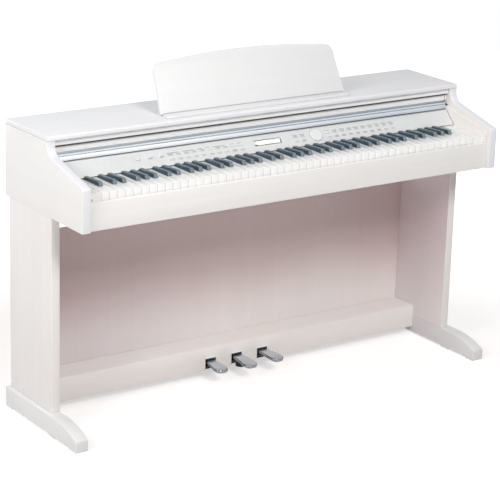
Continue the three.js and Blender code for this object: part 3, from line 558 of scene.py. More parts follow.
print(len(finish), "finishes made")

# Making pieces
weldDistance = 0.00002
spinWeld = 0.000005
coplanar = math.radians(0.3)
near = 0.01
angles = dict(bevel=30, shading=35, steep=50, keyRamp=20)
slightBevel = 2
fineBevel = 3


def sharpEdges(bm, angle=angles["bevel"]):
    least = math.radians(angle)
    return [e for e in bm.edges if len(e.link_faces) == 2 and e.calc_face_angle(0) > least]


def rounded(bm, width, segments=slightBevel, edges=None):
    bmesh.ops.bevel(
        bm, geom=sharpEdges(bm) if edges is None else edges, offset=width, offset_type="OFFSET",
        segments=segments, profile=0.5, affect="EDGES", clamp_overlap=True, material=-1,
    )


# Slot of each look; the others are white boards
slotOf = {
    **dict.fromkeys(("panel", "button", "dial", "ink"), "panel_plastic"),
    **dict.fromkeys(("blackPlastic", "felt", "greyMark"), "black_plastic"),
    **dict.fromkeys(("screen", "pane"), "display_glass"),
    "footWhite": "foot_white", "keyWhite": "white_keys", "keyBlack": "black_keys", "grip": "grip_metal",
    "pedal": "pedal_metal", "blackMetal": "black_metal", "platedSteel": "steel",
}


# A finished mesh as a piece on the body of the node it replaces, or on the case
def makePiece(name, bm, looks, *replaces, body="case"):
    bmesh.ops.recalc_face_normals(bm, faces=bm.faces)
    mesh = bpy.data.meshes.new(name)
    bm.to_mesh(mesh)
    bm.free()
    mesh.shade_smooth()
    mesh.set_sharp_from_angle(angle=math.radians(angles["shading"]))
    looks = looks if isinstance(looks, list) else [looks]
    for look in looks:
        mesh.materials.append(finish[look])
    piece = shown(name, mesh)
    body = bodyOf[replaces[0]] if replaces else body
    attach(piece, body)
    if replaces:
        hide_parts(*replaces)


def copyOfNode(node):
    bm = bmesh.new()
    bm.from_mesh(frame["nodes"][node].data)
    bmesh.ops.remove_doubles(bm, verts=bm.verts, dist=weldDistance)
    bmesh.ops.dissolve_limit(bm, angle_limit=coplanar, verts=bm.verts, edges=bm.edges)
    return bm


def moved(bm, place):
    bmesh.ops.transform(bm, matrix=place, verts=bm.verts)


def inMetres(bm):
    bmesh.ops.scale(bm, vec=(mm, mm, mm), verts=bm.verts)
    return bm


def addPart(whole, part, place=Matrix()):
    moved(part, place)
    mesh = bpy.data.meshes.new("part")
    part.to_mesh(mesh)
    part.free()
    whole.from_mesh(mesh)
    bpy.data.meshes.remove(mesh)


def block(low, high):
    bm = bmesh.new()
    bmesh.ops.create_cube(bm, size=1)
    low, high = Vector(low), Vector(high)
    bmesh.ops.scale(bm, vec=high - low, verts=bm.verts)
    bmesh.ops.translate(bm, vec=(low + high) / 2, verts=bm.verts)
    return bm


def addBlock(whole, low, high):
    addPart(whole, block(low, high))


# A block at the left end and its mirror image at the right
def endBlocks(inner, outer, y, z):
    whole = bmesh.new()
    for left, right in ((-outer, -inner), (inner, outer)):
        addBlock(whole, (left, y[0], z[0]), (right, y[1], z[1]))
    return whole


def grown(bm, faces, run):
    made = bmesh.ops.extrude_face_region(bm, geom=faces)["geom"]
    verts = [v for v in made if isinstance(v, bmesh.types.BMVert)]
    bmesh.ops.translate(bm, verts=verts, vec=run)


# The closed outline through the points, run by a vector
def runAlong(points, run):
    bm = bmesh.new()
    grown(bm, [bm.faces.new([bm.verts.new(p) for p in points])], run)
    bmesh.ops.recalc_face_normals(bm, faces=bm.faces)
    return bm


# A profile of [radius, height] points, spun round Z
def turned(profile, steps):
    bm = bmesh.new()
    verts = [bm.verts.new((r, 0, z)) for r, z in profile]
    edges = [bm.edges.new(pair) for pair in zip(verts, verts[1:])]
    bmesh.ops.spin(
        bm, geom=verts + edges, cent=(0, 0, 0), axis=(0, 0, 1), angle=math.tau, steps=steps,
        use_merge=True, use_duplicate=False,
    )
    bmesh.ops.remove_doubles(bm, verts=bm.verts, dist=spinWeld)
    bmesh.ops.recalc_face_normals(bm, faces=bm.faces)
    return bm


def placed(place, degrees, letter):
    return Matrix.Translation(place) @ Matrix.Rotation(math.radians(degrees), 4, letter)


# Boards and mouldings in the solids' shapes: look, easing in millimetres and nodes
boards = [
    ("boardY", 1.2, "side_arm_left", "side_arm_right"),
    ("lidBoard", 2.4, "top_board"),
    ("trimBoard", 0.8, "fascia_strip"),
    ("boardX", 0.6, "keybed"),
    ("boardX", 2.0, "key_slip"),
    ("boardX", 0.5, "rear_board"),
    ("armInside", 0.6, "guide_plate_left", "guide_plate_right"),
    ("boardY", 1.0, "key_block_left", "key_block_right"),
    ("trimBoard", 1.0, "key_cover"),
    ("restBoard", 1.4, "rest_ledge"),
    ("restBoard", 1.6, "music_rest"),
    ("legBoard", 1.6, "side_panel_left", "side_panel_right"),
    ("kneeBoard", 0.5, "kneeboard"),
    ("boxBoard", 0.7, "pedal_box"),
    ("footWhite", 2.2, "foot_left", "foot_right"),
    ("panel", 0.25, "control_panel"),
    ("blackPlastic", 0.4, "socket_plate"),
    ("panel", 0.6, "power_button"),
    ("button", 0.5, "button_bank_left", "button_bank_middle", "button_bank_right"),
    ("blackMetal", 0.4, "pedal_frame"),
    ("platedSteel", 0.8, "rest_stay"),
]
memberLists = frame["record"]["behaviour"]["bodies"]
bodyOf = {node: body for body, members in memberLists.items() for node in members}
fasciaFront = {"from": -0.01, "to": -0.014, "foot": 0.7757}
slipBack = {"from": -0.188, "to": -0.1858}
slotTop = {"from": 0.0545, "to": 0.0566, "within": 0.0002}
armBand = {"from": -0.02, "facing": 0.4}
facing = dict(side=0.9, back=0.5)


# Where a board leaves its solid's shape, in metres
def reshape(node, verts):
    for v in verts:
        if node == "fascia_strip":
            v.co.y = fasciaFront["to"] if v.co.y < fasciaFront["from"] else v.co.y
            v.co.z = max(v.co.z, fasciaFront["foot"])
        elif node == "key_slip" and v.co.y > slipBack["from"]:
            v.co.y = slipBack["to"]
        elif node == "pedal_box" and abs(v.co.z - slotTop["from"]) < slotTop["within"]:
            v.co.z = slotTop["to"]


def facesInward(face):
    return face.normal.x * face.calc_center_median().x < 0 and abs(face.normal.x) > facing["side"]


def facesBack(face):
    return face.normal.y > facing["back"]


# The front edge of an arm is banded from under the lid to its foot
def isBanded(face):
    ahead = face.normal.y < -armBand["facing"] or face.normal.z > armBand["facing"]
    return ahead and face.calc_center_median().y < armBand["from"]


# Other looks of a board, each with the test of the faces that take it
otherLooks = {
    # The arms' inward faces take a darker copy of their board: painted shade
    "side_arm": [("edgeBand", isBanded), ("armInside", facesInward)],
    "side_panel": [("legInside", facesInward)],
    # The kneeboard's back faces take the plain board, without the painted shade
    "kneeboard": [("boardZ", facesBack)],
}


def easeBoard(node, look, width):
    bm = copyOfNode(node)
    reshape(node, bm.verts)
    rounded(bm, width * mm, fineBevel)
    others = otherLooks.get(node.rsplit("_", 1)[0], [])
    for face in bm.faces:
        takers = [i for i, (name, test) in enumerate(others) if test(face)]
        face.material_index = takers[0] + 1 if takers else 0
    looks = [look] + [name for name, test in others]
    makePiece(node + "_eased", bm, looks, node)


for look, width, *nodes in boards:
    for node in nodes:
        easeBoard(node, look, width)
print("boards eased")

# Nodes that keep their own mesh
kept = {
    "speaker_left": "blackMetal", "speaker_right": "blackMetal", "main_board": "circuit",
    "key_frame": "platedSteel", "cover_shaft": "platedSteel", "cover_shoe_left": "blackPlastic",
    "cover_shoe_right": "blackPlastic",
}
for node, look in kept.items():
    mesh = frame["nodes"][node].data
    mesh.materials.clear()
    mesh.materials.append(finish[look])

# Keyboard, in millimetres
keyboard = dict(
    whiteCount=52, pitch=23.5, gap=0.8, front=-184.8, top=690, head=48, thickness=14, lip=23, lipDepth=5,
    rear=213.5, singleRear=226, web=12, webThickness=6, webGap=0.5, tongue=1, round=0.6, middleOctave=4,
)
sharpKey = dict(
    width=12.4, topShare=0.82, setback=49, frontRun=5, rise=11, fall=3.2, capLength=78, ramp=2.4, sink=1,
    round=0.65, bevel=4, clearance=0.6,
)
# Normals of the black keys' paler faces, which carry painted highlights
sheenFace = dict(above=1, slope=(0.15, 0.93), rear=0.3)
naturals = "CDEFGAB"
firstNatural = 5
sharpShares = {"C": -0.1, "D": 0.1, "F": -0.14, "G": 0, "A": 0.14}


def keyLetter(n):
    return naturals[(n + firstNatural) % 7], (n + firstNatural) // 7


def jointX(n):
    return (n - keyboard["whiteCount"] / 2) * keyboard["pitch"]


# Middle of the black key to the right of white key n, or None
def sharpX(n):
    letter = keyLetter(n)[0] if 0 <= n < keyboard["whiteCount"] - 1 else None
    if letter not in sharpShares:
        return None
    return jointX(n + 1) + sharpShares[letter] * keyboard["pitch"]


def tailEdge(n, side):
    middle = sharpX(n if side > 0 else n - 1)
    if middle is None:
        return jointX(n + 1 if side > 0 else n) - side * keyboard["gap"] / 2
    return middle - side * (sharpKey["width"] / 2 + sharpKey["clearance"])


# Sides of a key where it runs back under the panel
def tailSides(n, black):
    if black:
        return sharpX(n) - sharpKey["width"] / 2, sharpX(n) + sharpKey["width"] / 2
    return tailEdge(n, -1), tailEdge(n, 1)


def whiteKeyPart(n, rear):
    k = keyboard
    left, right = jointX(n) + k["gap"] / 2, jointX(n + 1) - k["gap"] / 2
    side = [
        (0, 0), (k["head"], 0), (k["head"], -k["thickness"]), (k["lipDepth"], -k["thickness"]),
        (k["lipDepth"], -k["lip"]), (0, -k["lip"]),
    ]
    bm = runAlong([(left, y, z) for y, z in side], (right - left, 0, 0))
    low, high = tailSides(n, False)
    for x in (low, high):
        if left < x < right:
            every = bm.verts[:] + bm.edges[:] + bm.faces[:]
            bmesh.ops.bisect_plane(bm, geom=every, plane_co=(x, 0, 0), plane_no=(1, 0, 0))
    backs = [f for f in bm.faces if all(abs(v.co.y - k["head"]) < near for v in f.verts)]
    backs = [f for f in backs if low - near < f.calc_center_median().x < high + near]
    grown(bm, backs, (0, rear - k["head"], 0))
    bmesh.ops.dissolve_limit(bm, angle_limit=coplanar, verts=bm.verts, edges=bm.edges)
    rounded(bm, k["round"], fineBevel)
    return bm


def blackKeyPart(n, rear):
    s, k = sharpKey, keyboard
    capEnd = s["setback"] + s["capLength"]
    side = [
        (s["setback"], -k["thickness"]), (s["setback"], 0),
        (s["setback"] + s["frontRun"], s["rise"]), (capEnd, s["rise"] - s["fall"]),
        (capEnd + s["ramp"], -s["sink"]), (rear, -s["sink"]), (rear, -k["thickness"]),
    ]
    bm = runAlong([(-s["width"] / 2, y, z) for y, z in side], (s["width"], 0, 0))
    raised = [v for v in bm.verts if v.co.z > near]
    bmesh.ops.scale(bm, vec=(s["topShare"], 1, 1), verts=raised)
    sharp = sharpEdges(bm, angles["keyRamp"])
    edges = [e for e in sharp if max(v.co.z for v in e.verts) > near]
    rounded(bm, s["round"], s["bevel"], edges)
    bmesh.ops.translate(bm, vec=(sharpX(n), 0, 0), verts=bm.verts)
    return bm


# The web behind a comb's keys, and a tongue from each key into it
def addWeb(whole, numbers, black):
    k = keyboard
    rear, gap, reach = k["rear"], k["webGap"], k["tongue"]
    low = -k["thickness"] if black else -k["thickness"] + k["webThickness"] + gap
    high = low + k["webThickness"] if black else 0
    left, right = tailSides(numbers[0], black)[0], tailSides(numbers[-1], black)[1]
    addBlock(whole, (left, rear + gap, low), (right, rear + gap + k["web"], high))
    for n in numbers:
        left, right = tailSides(n, black)
        addBlock(whole, (left, rear - reach, low), (right, rear + reach, high - sharpKey["sink"]))


# Black keys are paler on their slopes and palest on top: painted highlights
def lookOfKeyFace(face):
    face.normal_update()
    if face.calc_center_median().z <= (keyboard["top"] + sheenFace["above"]) * mm:
        return 0
    least, most = sheenFace["slope"]
    if face.normal.z >= most:
        return 2
    return int(face.normal.z > least and face.normal.y < sheenFace["rear"])


def makeKeys(name, numbers, black, node):
    k = keyboard
    comb = len(numbers) > 1
    rear = k["rear"] if comb else k["singleRear"]
    whole = bmesh.new()
    for n in numbers:
        addPart(whole, blackKeyPart(n, rear) if black else whiteKeyPart(n, rear))
    if comb:
        addWeb(whole, numbers, black)
    moved(whole, Matrix.Translation((0, k["front"] * mm, k["top"] * mm)) @ Matrix.Scale(mm, 4))
    for face in whole.faces:
        face.material_index = lookOfKeyFace(face) if black else 0
    makePiece(name, whole, ["keyBlack", "keyFront", "keyTop"] if black else "keyWhite", node)


def layKeys():
    whites = range(keyboard["whiteCount"])
    sharps = [n for n in whites if sharpX(n) is not None]
    middle = keyboard["middleOctave"]
    low = [n for n in whites if keyLetter(n)[1] < middle]
    high = [n for n in whites if keyLetter(n)[1] > middle]
    for place, chosen in (("low", low), ("high", high)):
        makeKeys("whiteKeys_" + place, chosen, False, "white_keys_" + place)
        black = [n for n in chosen if n in sharps]
        makeKeys("blackKeys_" + place, black, True, "black_keys_" + place)
    for n in whites:
        letter, octave = keyLetter(n)
        if octave != middle:
            continue
        node = "key_" + letter.lower()
        makeKeys("whiteKey_" + letter, [n], False, node)
        if n in sharps:
            makeKeys("blackKey_" + letter + "_sharp", [n], True, node + "_sharp")


layKeys()
print("keyboard laid")

# Cover grip: a coved metal band over a bright lip, in millimetres
grip = dict(
    topDrop=0.4, step=1.7, coveIn=1.0, coveDown=9.4, coveSteps=10, foot=11.4, footBack=2.8, lipDown=0.6,
    lipDrop=0.4, lipBack=6, lipLean=1.5, lipRound=1.2, lipBevel=4, edgeRound=0.35, bright=0.6,
)


def runsAcross(edge):
    return abs(edge.verts[0].co.x - edge.verts[1].co.x) > near


def makeGrip():
    g = grip
    low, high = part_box("cover_grip")
    front, behind, bottom, top = low.y / mm, high.y / mm, low.z / mm, high.z / mm
    start = Vector((behind - g["step"], top - g["topDrop"]))
    bend = Vector((behind - g["step"] + g["coveIn"], top - g["coveDown"]))
    foot = Vector((front + g["footBack"], top - g["foot"]))
    cove = []
    for i in range(g["coveSteps"] + 1):
        t = i / g["coveSteps"]
        point = start * (1 - t) ** 2 + bend * (2 * t * (1 - t)) + foot * t**2
        cove.append((point.x, point.y))
    lip = (front + g["lipLean"], top - g["foot"] - g["lipDown"])
    under = bottom - g["lipDrop"]
    base = [(front, under), (front + g["lipBack"] / 2, under), (front + g["lipBack"], bottom)]
    section = [(behind, bottom), (behind, top), *cove, lip, *base]
    bm = runAlong([(low.x / mm, y, z) for y, z in section], ((high.x - low.x) / mm, 0, 0))
    across = [(e, e.verts[0].co) for e in bm.edges if runsAcross(e)]
    edges = [e for e, at in across if abs(at.y - lip[0]) < near and abs(at.z - lip[1]) < near]
    rounded(bm, g["lipRound"], g["lipBevel"], edges)
    steep = [e for e in sharpEdges(bm, angles["steep"]) if runsAcross(e)]
    rounded(bm, g["edgeRound"], slightBevel, [e for e in steep if e.verts[0].co.z < under + near])
    for face in inMetres(bm).faces:
        face.material_index = int(face.calc_center_median().z < (lip[1] + g["bright"]) * mm)
    makePiece("coverGrip", bm, ["grip", "gripLip"], "cover_grip")


makeGrip()

# On the control panel, in its own plane: X, up the slope, out of the face
panelTop = (0, -18.879 * mm, 728.421 * mm)
panelSlope = 45
panelPlace = placed(panelTop, panelSlope, "X") @ Matrix.Scale(mm, 4)


def onPanel(bm):
    moved(bm, panelPlace)
    return bm


dial = dict(
    x=163, down=21.5, radius=19.5, height=3, shaft=(4, -4.4), under=0.3, underIn=0.4, side=0.6,
    rim=[(0, 1.0), (0.15, 0.6), (0.45, 0.25), (0.9, 0.05)],
    groove=[(2.0, 0), (2.4, 0.7), (3.4, 0.7), (3.8, 0)], rings=22, sides=96, dimpleOut=11, dimple=5.5,
    dimpleDepth=0.9,
)


def makeDial():
    d = dial
    r, h = d["radius"], d["height"]
    shaft, foot = d["shaft"]
    edge = [(r - inward, h - below) for inward, below in d["rim"] + d["groove"]]
    inner = edge[-1][0]
    rings = [(inner - i * inner / d["rings"], h) for i in range(1, d["rings"])]
    below = [(0, foot), (shaft, foot), (shaft, d["under"]), (r - d["underIn"], d["under"])]
    bm = turned([*below, (r, d["side"]), *edge, *rings, (0, h)], d["sides"])
    for v in bm.verts:
        away = math.hypot(v.co.x - d["dimpleOut"], v.co.y) / d["dimple"]
        if v.co.z > h - near and away < 1:
            v.co.z -= d["dimpleDepth"] * (math.cos(math.pi * away) + 1) / 2
    moved(bm, Matrix.Translation((d["x"], -d["down"], 0)))
    makePiece("dataDial", onPanel(bm), "dial", "data_dial")


sliderKnob = dict(
    x={"left": -378, "right": -344}, down=19.5, width=13, depth=8, foot=0.3, height=6,
    topShare=(0.86, 0.62, 1), round=0.7, stem=(1.2, -0.6, 0.8), mark=(0.36, 0.35, -0.2, 0.05),
)


def makeSliders():
    s = sliderKnob
    half, deep = s["width"] / 2, s["depth"] / 2
    stem, foot, head = s["stem"]
    share, thin, sunk, proud = s["mark"]
    for side, x in s["x"].items():
        bm = block((-half, -deep, s["foot"]), (half, deep, s["height"]))
        raised = [v for v in bm.verts if v.co.z > s["foot"] + near]
        bmesh.ops.scale(bm, vec=s["topShare"], verts=raised)
        rounded(bm, s["round"], fineBevel)
        addBlock(bm, (-stem, -stem, foot), (stem, stem, head))
        plain = len(bm.faces)
        reach = s["width"] * share
        addBlock(bm, (-reach, -thin, s["height"] + sunk), (reach, thin, s["height"] + proud))
        bm.faces.ensure_lookup_table()
        for face in bm.faces[plain:]:
            face.material_index = 1
        moved(bm, Matrix.Translation((x, -s["down"], 0)))
        makePiece("sliderKnob_" + side, onPanel(bm), ["dial", "greyMark"], "slider_" + side)


screen = dict(
    width=88, depth=17, down=13, below=4.4, thickness=0.8, round=0.2, wellTop=3.1, wall=1.6,
    pane=(0.8, 1.6), paneRound=0.08, play=0.05, liner=0.7, linerTop=0.25, linerPlay=0.02,
)


def makeScreen():
    s = screen
    low = (-s["width"] / 2, -s["down"] - s["depth"], -s["below"] - s["thickness"])
    high = (s["width"] / 2, -s["down"], -s["below"])
    bm = block(low, high)
    rounded(bm, s["round"])
    makePiece("displayScreen", onPanel(bm), "screen")
    play, edge = s["play"], s["liner"] + s["play"]
    foot = (low[0] + play, low[1] + play, -s["pane"][1])
    pane = block(foot, (high[0] - edge, high[1] - edge, -s["pane"][0]))
    rounded(pane, s["paneRound"])
    makePiece("displayPane", onPanel(pane), "pane", "display_window")


# The well under the display's pane, dark at the top and right with dark liners there: painted shadow of
# the recess
def makeWell():
    s = screen
    half, out, play = s["width"] / 2, s["wall"], s["linerPlay"]
    low, high = -s["down"] - s["depth"], -s["down"]
    whole = bmesh.new()
    walls = [
        (-half - out, -half, low - out, high + out), (-half, half, low - out, low),
        (half, half + out, low - out, high + out), (-half, half, high, high + out),
    ]
    for x0, x1, y0, y1 in walls:
        addBlock(whole, (x0, y0, -s["below"] - s["thickness"]), (x1, y1, -s["wellTop"]))
    for face in whole.faces:
        middle = face.calc_center_median()
        # Left and bottom walls pale, top and right walls dark: painted shadow
        face.material_index = int(middle.x < -half + near or middle.y < low + near)
    deep, shallow, inward = -s["below"], -s["linerTop"], s["liner"]
    addBlock(whole, (-half, high - inward, deep), (half, high - play, shallow))
    addBlock(whole, (half - inward, low, deep), (half - play, high - inward, shallow))
    makePiece("displayWell", onPanel(whole), ["blackPlastic", "panel"])


channel = dict(half=1.45, start=10.1, end=39.9, floor=0.8, sheet=2.1)


def makeChannels():
    c = channel
    whole = bmesh.new()
    for x in sliderKnob["x"].values():
        foot = (x - c["half"], -c["end"], -c["floor"] - c["sheet"])
        addBlock(whole, foot, (x + c["half"], -c["start"], -c["floor"]))
    makePiece("sliderChannels", onPanel(whole), "panel")


legend = dict(thickness=0.06, lift=0.02, bold=2.9, thin=2.1, ring=(19.75, 21))
# Middle, distance down, length and weight of each bar
legendMarks = [
    (-305, 14.1, 37, "bold"), (-255.5, 14.1, 36, "bold"), (-219.5, 14.1, 16, "bold"),
    (-195, 13.2, 15, "thin"), (-157, 14.1, 37, "bold"), (-116, 12.9, 14, "thin"),
    (-91, 12.9, 13, "thin"), (93, 14.1, 16, "bold"), (117, 14.1, 16, "bold"), (204, 13.2, 16, "thin"),
]
legendRow = dict(x=230, pitch=24.6, down=14.1, lengths=(16, 18, 15, 17, 16, 18, 15, 17, 16))
# Bars on the two rows of buttons: 0 none, 1 thin, 2 thick
buttonMark = dict(lift=1.52, rows=(19, 33.5), length=13, thin=1.9, thick=(3.0, 4.4))
buttonMarks = {
    "left": {"x": -314, "pitch": 25, "rows": ("2222202200", "1111111121")},
    "middle": {"x": 93, "pitch": 24, "rows": ("22", "12")},
    "right": {"x": 204, "pitch": 25, "rows": ("0222222222", "1222222211")},
}


def printBar(whole, x, down, length, depth, lift):
    low = (x - length / 2, -down - depth / 2, lift)
    addBlock(whole, low, (x + length / 2, -down + depth / 2, lift + legend["thickness"]))


# Plain bars above the buttons, without lettering, and a ring round the dial that is painted shadow of its
# gap
def makeLegends():
    whole = bmesh.new()
    for x, down, length, weight in legendMarks:
        printBar(whole, x, down, length, legend[weight], legend["lift"])
    r = legendRow
    for i, length in enumerate(r["lengths"]):
        printBar(whole, r["x"] + r["pitch"] * i, r["down"], length, legend["bold"], legend["lift"])
    a, b = legend["ring"]
    low, high = legend["lift"], legend["lift"] + legend["thickness"]
    ring = turned([(a, low), (b, low), (b, high), (a, high), (a, low)], dial["sides"])
    addPart(whole, ring, Matrix.Translation((dial["x"], -dial["down"], 0)))
    makePiece("panelLegends", onPanel(whole), "ink")


def makeButtonMarks():
    m = buttonMark
    for bank, marks in buttonMarks.items():
        whole = bmesh.new()
        for kinds, down, thick in zip(marks["rows"], m["rows"], m["thick"]):
            for column, kind in enumerate(kinds):
                if kind != "0":
                    x = marks["x"] + column * marks["pitch"]
                    depth = m["thin"] if kind == "1" else thick
                    printBar(whole, x, down, m["length"], depth, m["lift"])
        body = bodyOf["button_bank_" + bank]
        makePiece("buttonMarks_" + bank, onPanel(whole), "ink", body=body)


for make in (makeDial, makeSliders, makeScreen, makeWell, makeChannels, makeLegends, makeButtonMarks):
    make()
# Thin dark strips where the panel meets the guide plates: painted shade of the gaps
panelEndShade = dict(inner=646.2, outer=647.4, y=(-50.6, 0), z=(-0.4, 0.08))
makePiece("panelEndShades", onPanel(endBlocks(**panelEndShade)), "blackPlastic")
print("panel fitted")

# Strips across the piano, in millimetres: half length, y, z, easing and look.
# The dark strip under the fascia, the one behind the grip and the grey one at the rest's foot are painted
# shade of their gaps; the backstop is seen through the pedal slots.
strips = {
    "keyFelt": (611, (-54.0, -50.4), (690.35, 691.2), 0.5, "felt"),
    "ledgeContactShade": (300, (27.6, 28.6), (810.8, 812.3), 0.25, "greyFelt"),
    "coverSlotShade": (646.5, (-13.4, -6), (772.4, 775.6), 0.25, "blackPlastic"),
    "panelReturn": (646, (-18.6, -6.5), (726.6, 728.9), 0.3, "panel"),
    "panelGapShade": (646, (-7.5, -5), (724, 731.4), 0.3, "blackPlastic"),
    "pedalBackstop": (128, (164, 166), (24, 88), 0.4, "blackMetal"),
}


def makeStrip(name):
    half, y, z, ease, look = strips[name]
    bm = block((-half * mm, y[0] * mm, z[0] * mm), (half * mm, y[1] * mm, z[1] * mm))
    rounded(bm, ease * mm)
    makePiece(name, bm, look)


bumper = dict(x=-641, y=-186.7, z=673, radius=3.2, rise=2.0, sunk=0.2, step=15, sides=32)


# A small rubber dome at the keys' left end
def makeBumper():
    b = bumper
    r, h = b["radius"], b["rise"]
    turns = [math.radians(a) for a in range(0, 90, b["step"])]
    dome = [(r * math.cos(a), h * math.sin(a)) for a in turns]
    bm = turned([(0, -b["sunk"]), (r, -b["sunk"]), *dome, (0, h)], b["sides"])
    moved(bm, Matrix.Scale(mm, 4) @ placed((b["x"], b["y"], b["z"]), 90, "X"))
    makePiece("keyBumper", bm, "greyMark")


makeStrip("keyFelt")
makeStrip("ledgeContactShade")
makeBumper()
makeStrip("coverSlotShade")
makeStrip("panelReturn")
makeStrip("panelGapShade")
# Black strips at the ends of the cover's front rail: painted shade of the end gaps
coverEndShade = dict(inner=646.4, outer=647.55, y=(-7.1, 6), z=(732.9, 771.0))
makePiece("coverEndShades", inMetres(endBlocks(**coverEndShade)), "blackPlastic", body="key_cover")

# Pedals, in millimetres
pedal = dict(
    pitch=89.6, centre=1.4, front=89.2, turn={"left": -4.5, "middle": 1, "right": 6.5},
    longer={"left": 0, "middle": 8, "right": 4}, top=45.5, thickness=9, neck=15, lever=12,
    leverAt=(10, 20, 30, 40, 50, 61), wide=20.5, reach=77, tipRound=17, tipSteps=8, flareSteps=10,
    flareEven=0.35, pivot=61, knuckle=8, knuckleEase=0.6, knuckleSides=32, topRound=2.6, topBevel=5,
    bottomRound=1.6, lift=5, liftPower=0.8, flat=0.9,
)


# Half widths along the lever, from the tip to the pivot
def pedalPlan(reach):
    p = pedal
    r, even = p["tipRound"], p["flareEven"]
    plan = []
    for i in range(p["tipSteps"] + 1):
        a = math.radians(90 * i / p["tipSteps"])
        plan.append((p["wide"] - r + r * math.sin(a), -reach + r * (1 - math.cos(a))))
    for i in range(1, p["flareSteps"] + 1):
        share = i / p["flareSteps"]
        eased = share * share * (3 - 2 * share)
        width = p["wide"] + (p["neck"] - p["wide"]) * (even * share + (1 - even) * eased)
        plan.append((width, -(reach - r) * (1 - share)))
    return plan + [(p["lever"], y) for y in p["leverAt"]]


# Bend of the lever: most at the slot, none at its ends
def pedalLift(y):
    p = pedal
    if y > 0:
        return p["lift"] * math.cos(math.pi / 2 * min(1, y / p["pivot"]))
    return p["lift"] * (1 - (y / p["reach"]) ** 2) ** p["liftPower"] if y > -p["reach"] else 0


def makePedals():
    p = pedal
    top, bottom = p["top"], p["top"] - p["thickness"]
    half, r, ease = p["lever"], p["knuckle"], p["knuckleEase"]
    low = [(0, -half), (r - ease, -half), (r, ease - half)]
    barrel = low + [(radius, -z) for radius, z in reversed(low)]
    for i, name in enumerate(("left", "middle", "right")):
        plan = pedalPlan(p["reach"] + p["longer"][name])
        outline = plan + [(-x, y) for x, y in reversed(plan)]
        bm = runAlong([(x, y, bottom) for x, y in outline], (0, 0, p["thickness"]))
        steep = sharpEdges(bm, angles["steep"])
        edges = [e for e in steep if all(v.co.z > top - near for v in e.verts)]
        rounded(bm, p["topRound"], p["topBevel"], edges)
        steep = sharpEdges(bm, angles["steep"])
        edges = [e for e in steep if all(v.co.z < bottom + near for v in e.verts)]
        rounded(bm, p["bottomRound"], fineBevel, edges)
        # Edges and sides take the darker copy: painted dark reflection
        for face in bm.faces:
            face.material_index = 0 if face.normal.z > p["flat"] else 1
        for v in bm.verts:
            v.co.z += pedalLift(v.co.y)
        knuckle = turned(barrel, p["knuckleSides"])
        addPart(bm, knuckle, placed((0, p["pivot"], top - p["thickness"] / 2), 90, "Y"))
        place = placed((p["centre"] + (i - 1) * p["pitch"], p["front"], 0), p["turn"][name], "Z")
        moved(bm, Matrix.Scale(mm, 4) @ place)
        makePiece("pedalLever_" + name, bm, ["pedal", "pedalEdge"], "pedal_" + name)


slotFrame = dict(outer=17.85, inner=16.2, y=(90.8, 94), z=(25.4, 56.45), opening=(27, 53.4))


def makeSlotFrames():
    s, p = slotFrame, pedal
    (low, high), (foot, head) = s["z"], s["opening"]
    bars = [
        (-s["outer"], -s["inner"], low, high),
        (s["inner"], s["outer"], low, high),
        (-s["inner"], s["inner"], low, foot),
        (-s["inner"], s["inner"], head, high),
    ]
    whole = bmesh.new()
    for i in (-1, 0, 1):
        x = p["centre"] + i * p["pitch"]
        for x0, x1, z0, z1 in bars:
            addBlock(whole, (x + x0, s["y"][0], z0), (x + x1, s["y"][1], z1))
    makePiece("pedalSlotFrames", inMetres(whole), "blackPlastic")


makePedals()
makeSlotFrames()
makeStrip("pedalBackstop")
print("pedals fitted")

# Levelling foot: a ribbed wheel on a spindle, in millimetres
leveller = dict(
    x=37, y=120.2, radius=15, stem=5, base=8, top=21.3, foot=[(1.4, 0), (0.4, 0.4), (0, 1.4)], ease=0.8,
    fillet=1, ribs=24, ribSteps=4, ribShare=0.035, ribRim=0.5,
)


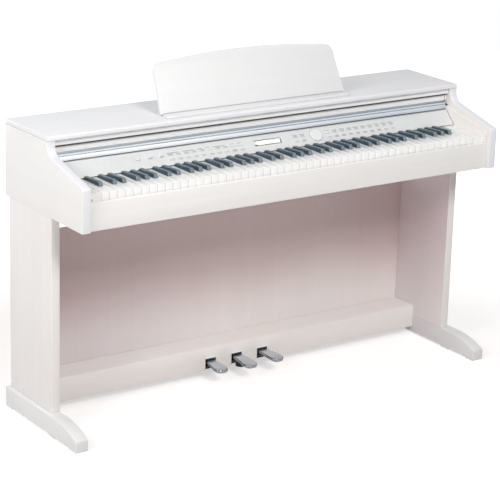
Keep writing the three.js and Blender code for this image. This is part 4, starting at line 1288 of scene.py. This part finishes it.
def makeLeveller():
    v = leveller
    r, base, stem, fillet = v["radius"], v["base"], v["stem"], v["fillet"]
    foot = [(r - inward, z) for inward, z in v["foot"]]
    rim = [(r, base - fillet), (r - v["ease"], base)]
    spindle = [(stem + fillet, base), (stem, base + fillet), (stem, v["top"]), (0, v["top"])]
    bm = turned([(0, 0), *foot, *rim, *spindle], v["ribs"] * v["ribSteps"])
    for vert in bm.verts:
        if math.hypot(vert.co.x, vert.co.y) > r - v["ribRim"] and vert.co.z > fillet:
            angle = math.atan2(vert.co.y, vert.co.x)
            share = 1 - v["ribShare"] * (math.cos(angle * v["ribs"]) + 1) / 2
            vert.co.x *= share
            vert.co.y *= share
    moved(bm, Matrix.Scale(mm, 4) @ Matrix.Translation((v["x"], v["y"], 0)))
    makePiece("levellingWheel", bm, "blackPlastic", "levelling_foot")


makeLeveller()

# Caps over the screws in the side panels
screwCap = dict(
    radius=6.5, rise=2.0, rim=[(0, 0), (0, 0.35), (0.3, 0.7), (0.9, 0.92)], crown=0.5, sides=40, face=679,
    places=[(176, 72), (118, 71.5)],
)


def makeCaps():
    c = screwCap
    r, h = c["radius"], c["rise"]
    rim = [(r - inward, h * share) for inward, share in c["rim"]]
    for side, name in ((-1, "left"), (1, "right")):
        whole = bmesh.new()
        for y, z in c["places"]:
            cap = turned([(0, 0), *rim, (r * c["crown"], h), (0, h)], c["sides"])
            addPart(whole, cap, placed((side * c["face"], y, z), side * 90, "Y"))
        makePiece("screwCaps_" + name, inMetres(whole), "footWhite")


makeCaps()

# Rings round the sockets in the rear plate
jackRing = dict(
    xs=(227, 254, 281, 308), z=679, face=206.5, inner=3.4, outer=5.4, rise=0.5, shoulder=0.7, ease=0.3,
    neck=0.4, depth=2, sides=36,
)


def makeJackRings():
    j = jackRing
    a, b, h, ease, neck, foot = j["inner"], j["outer"], j["rise"], j["ease"], j["neck"], -j["depth"]
    low = h * j["shoulder"]
    inside = [(a, foot), (a, low), (a + ease, h)]
    outside = [(b - ease, h), (b, low), (b, 0), (a + neck, 0), (a + neck, foot), (a, foot)]
    whole = bmesh.new()
    for x in j["xs"]:
        ring = turned(inside + outside, j["sides"])
        addPart(whole, ring, placed((x, j["face"], j["z"]), -90, "X"))
    makePiece("jackRings", inMetres(whole), "platedSteel")


makeJackRings()
print("stand fitted")
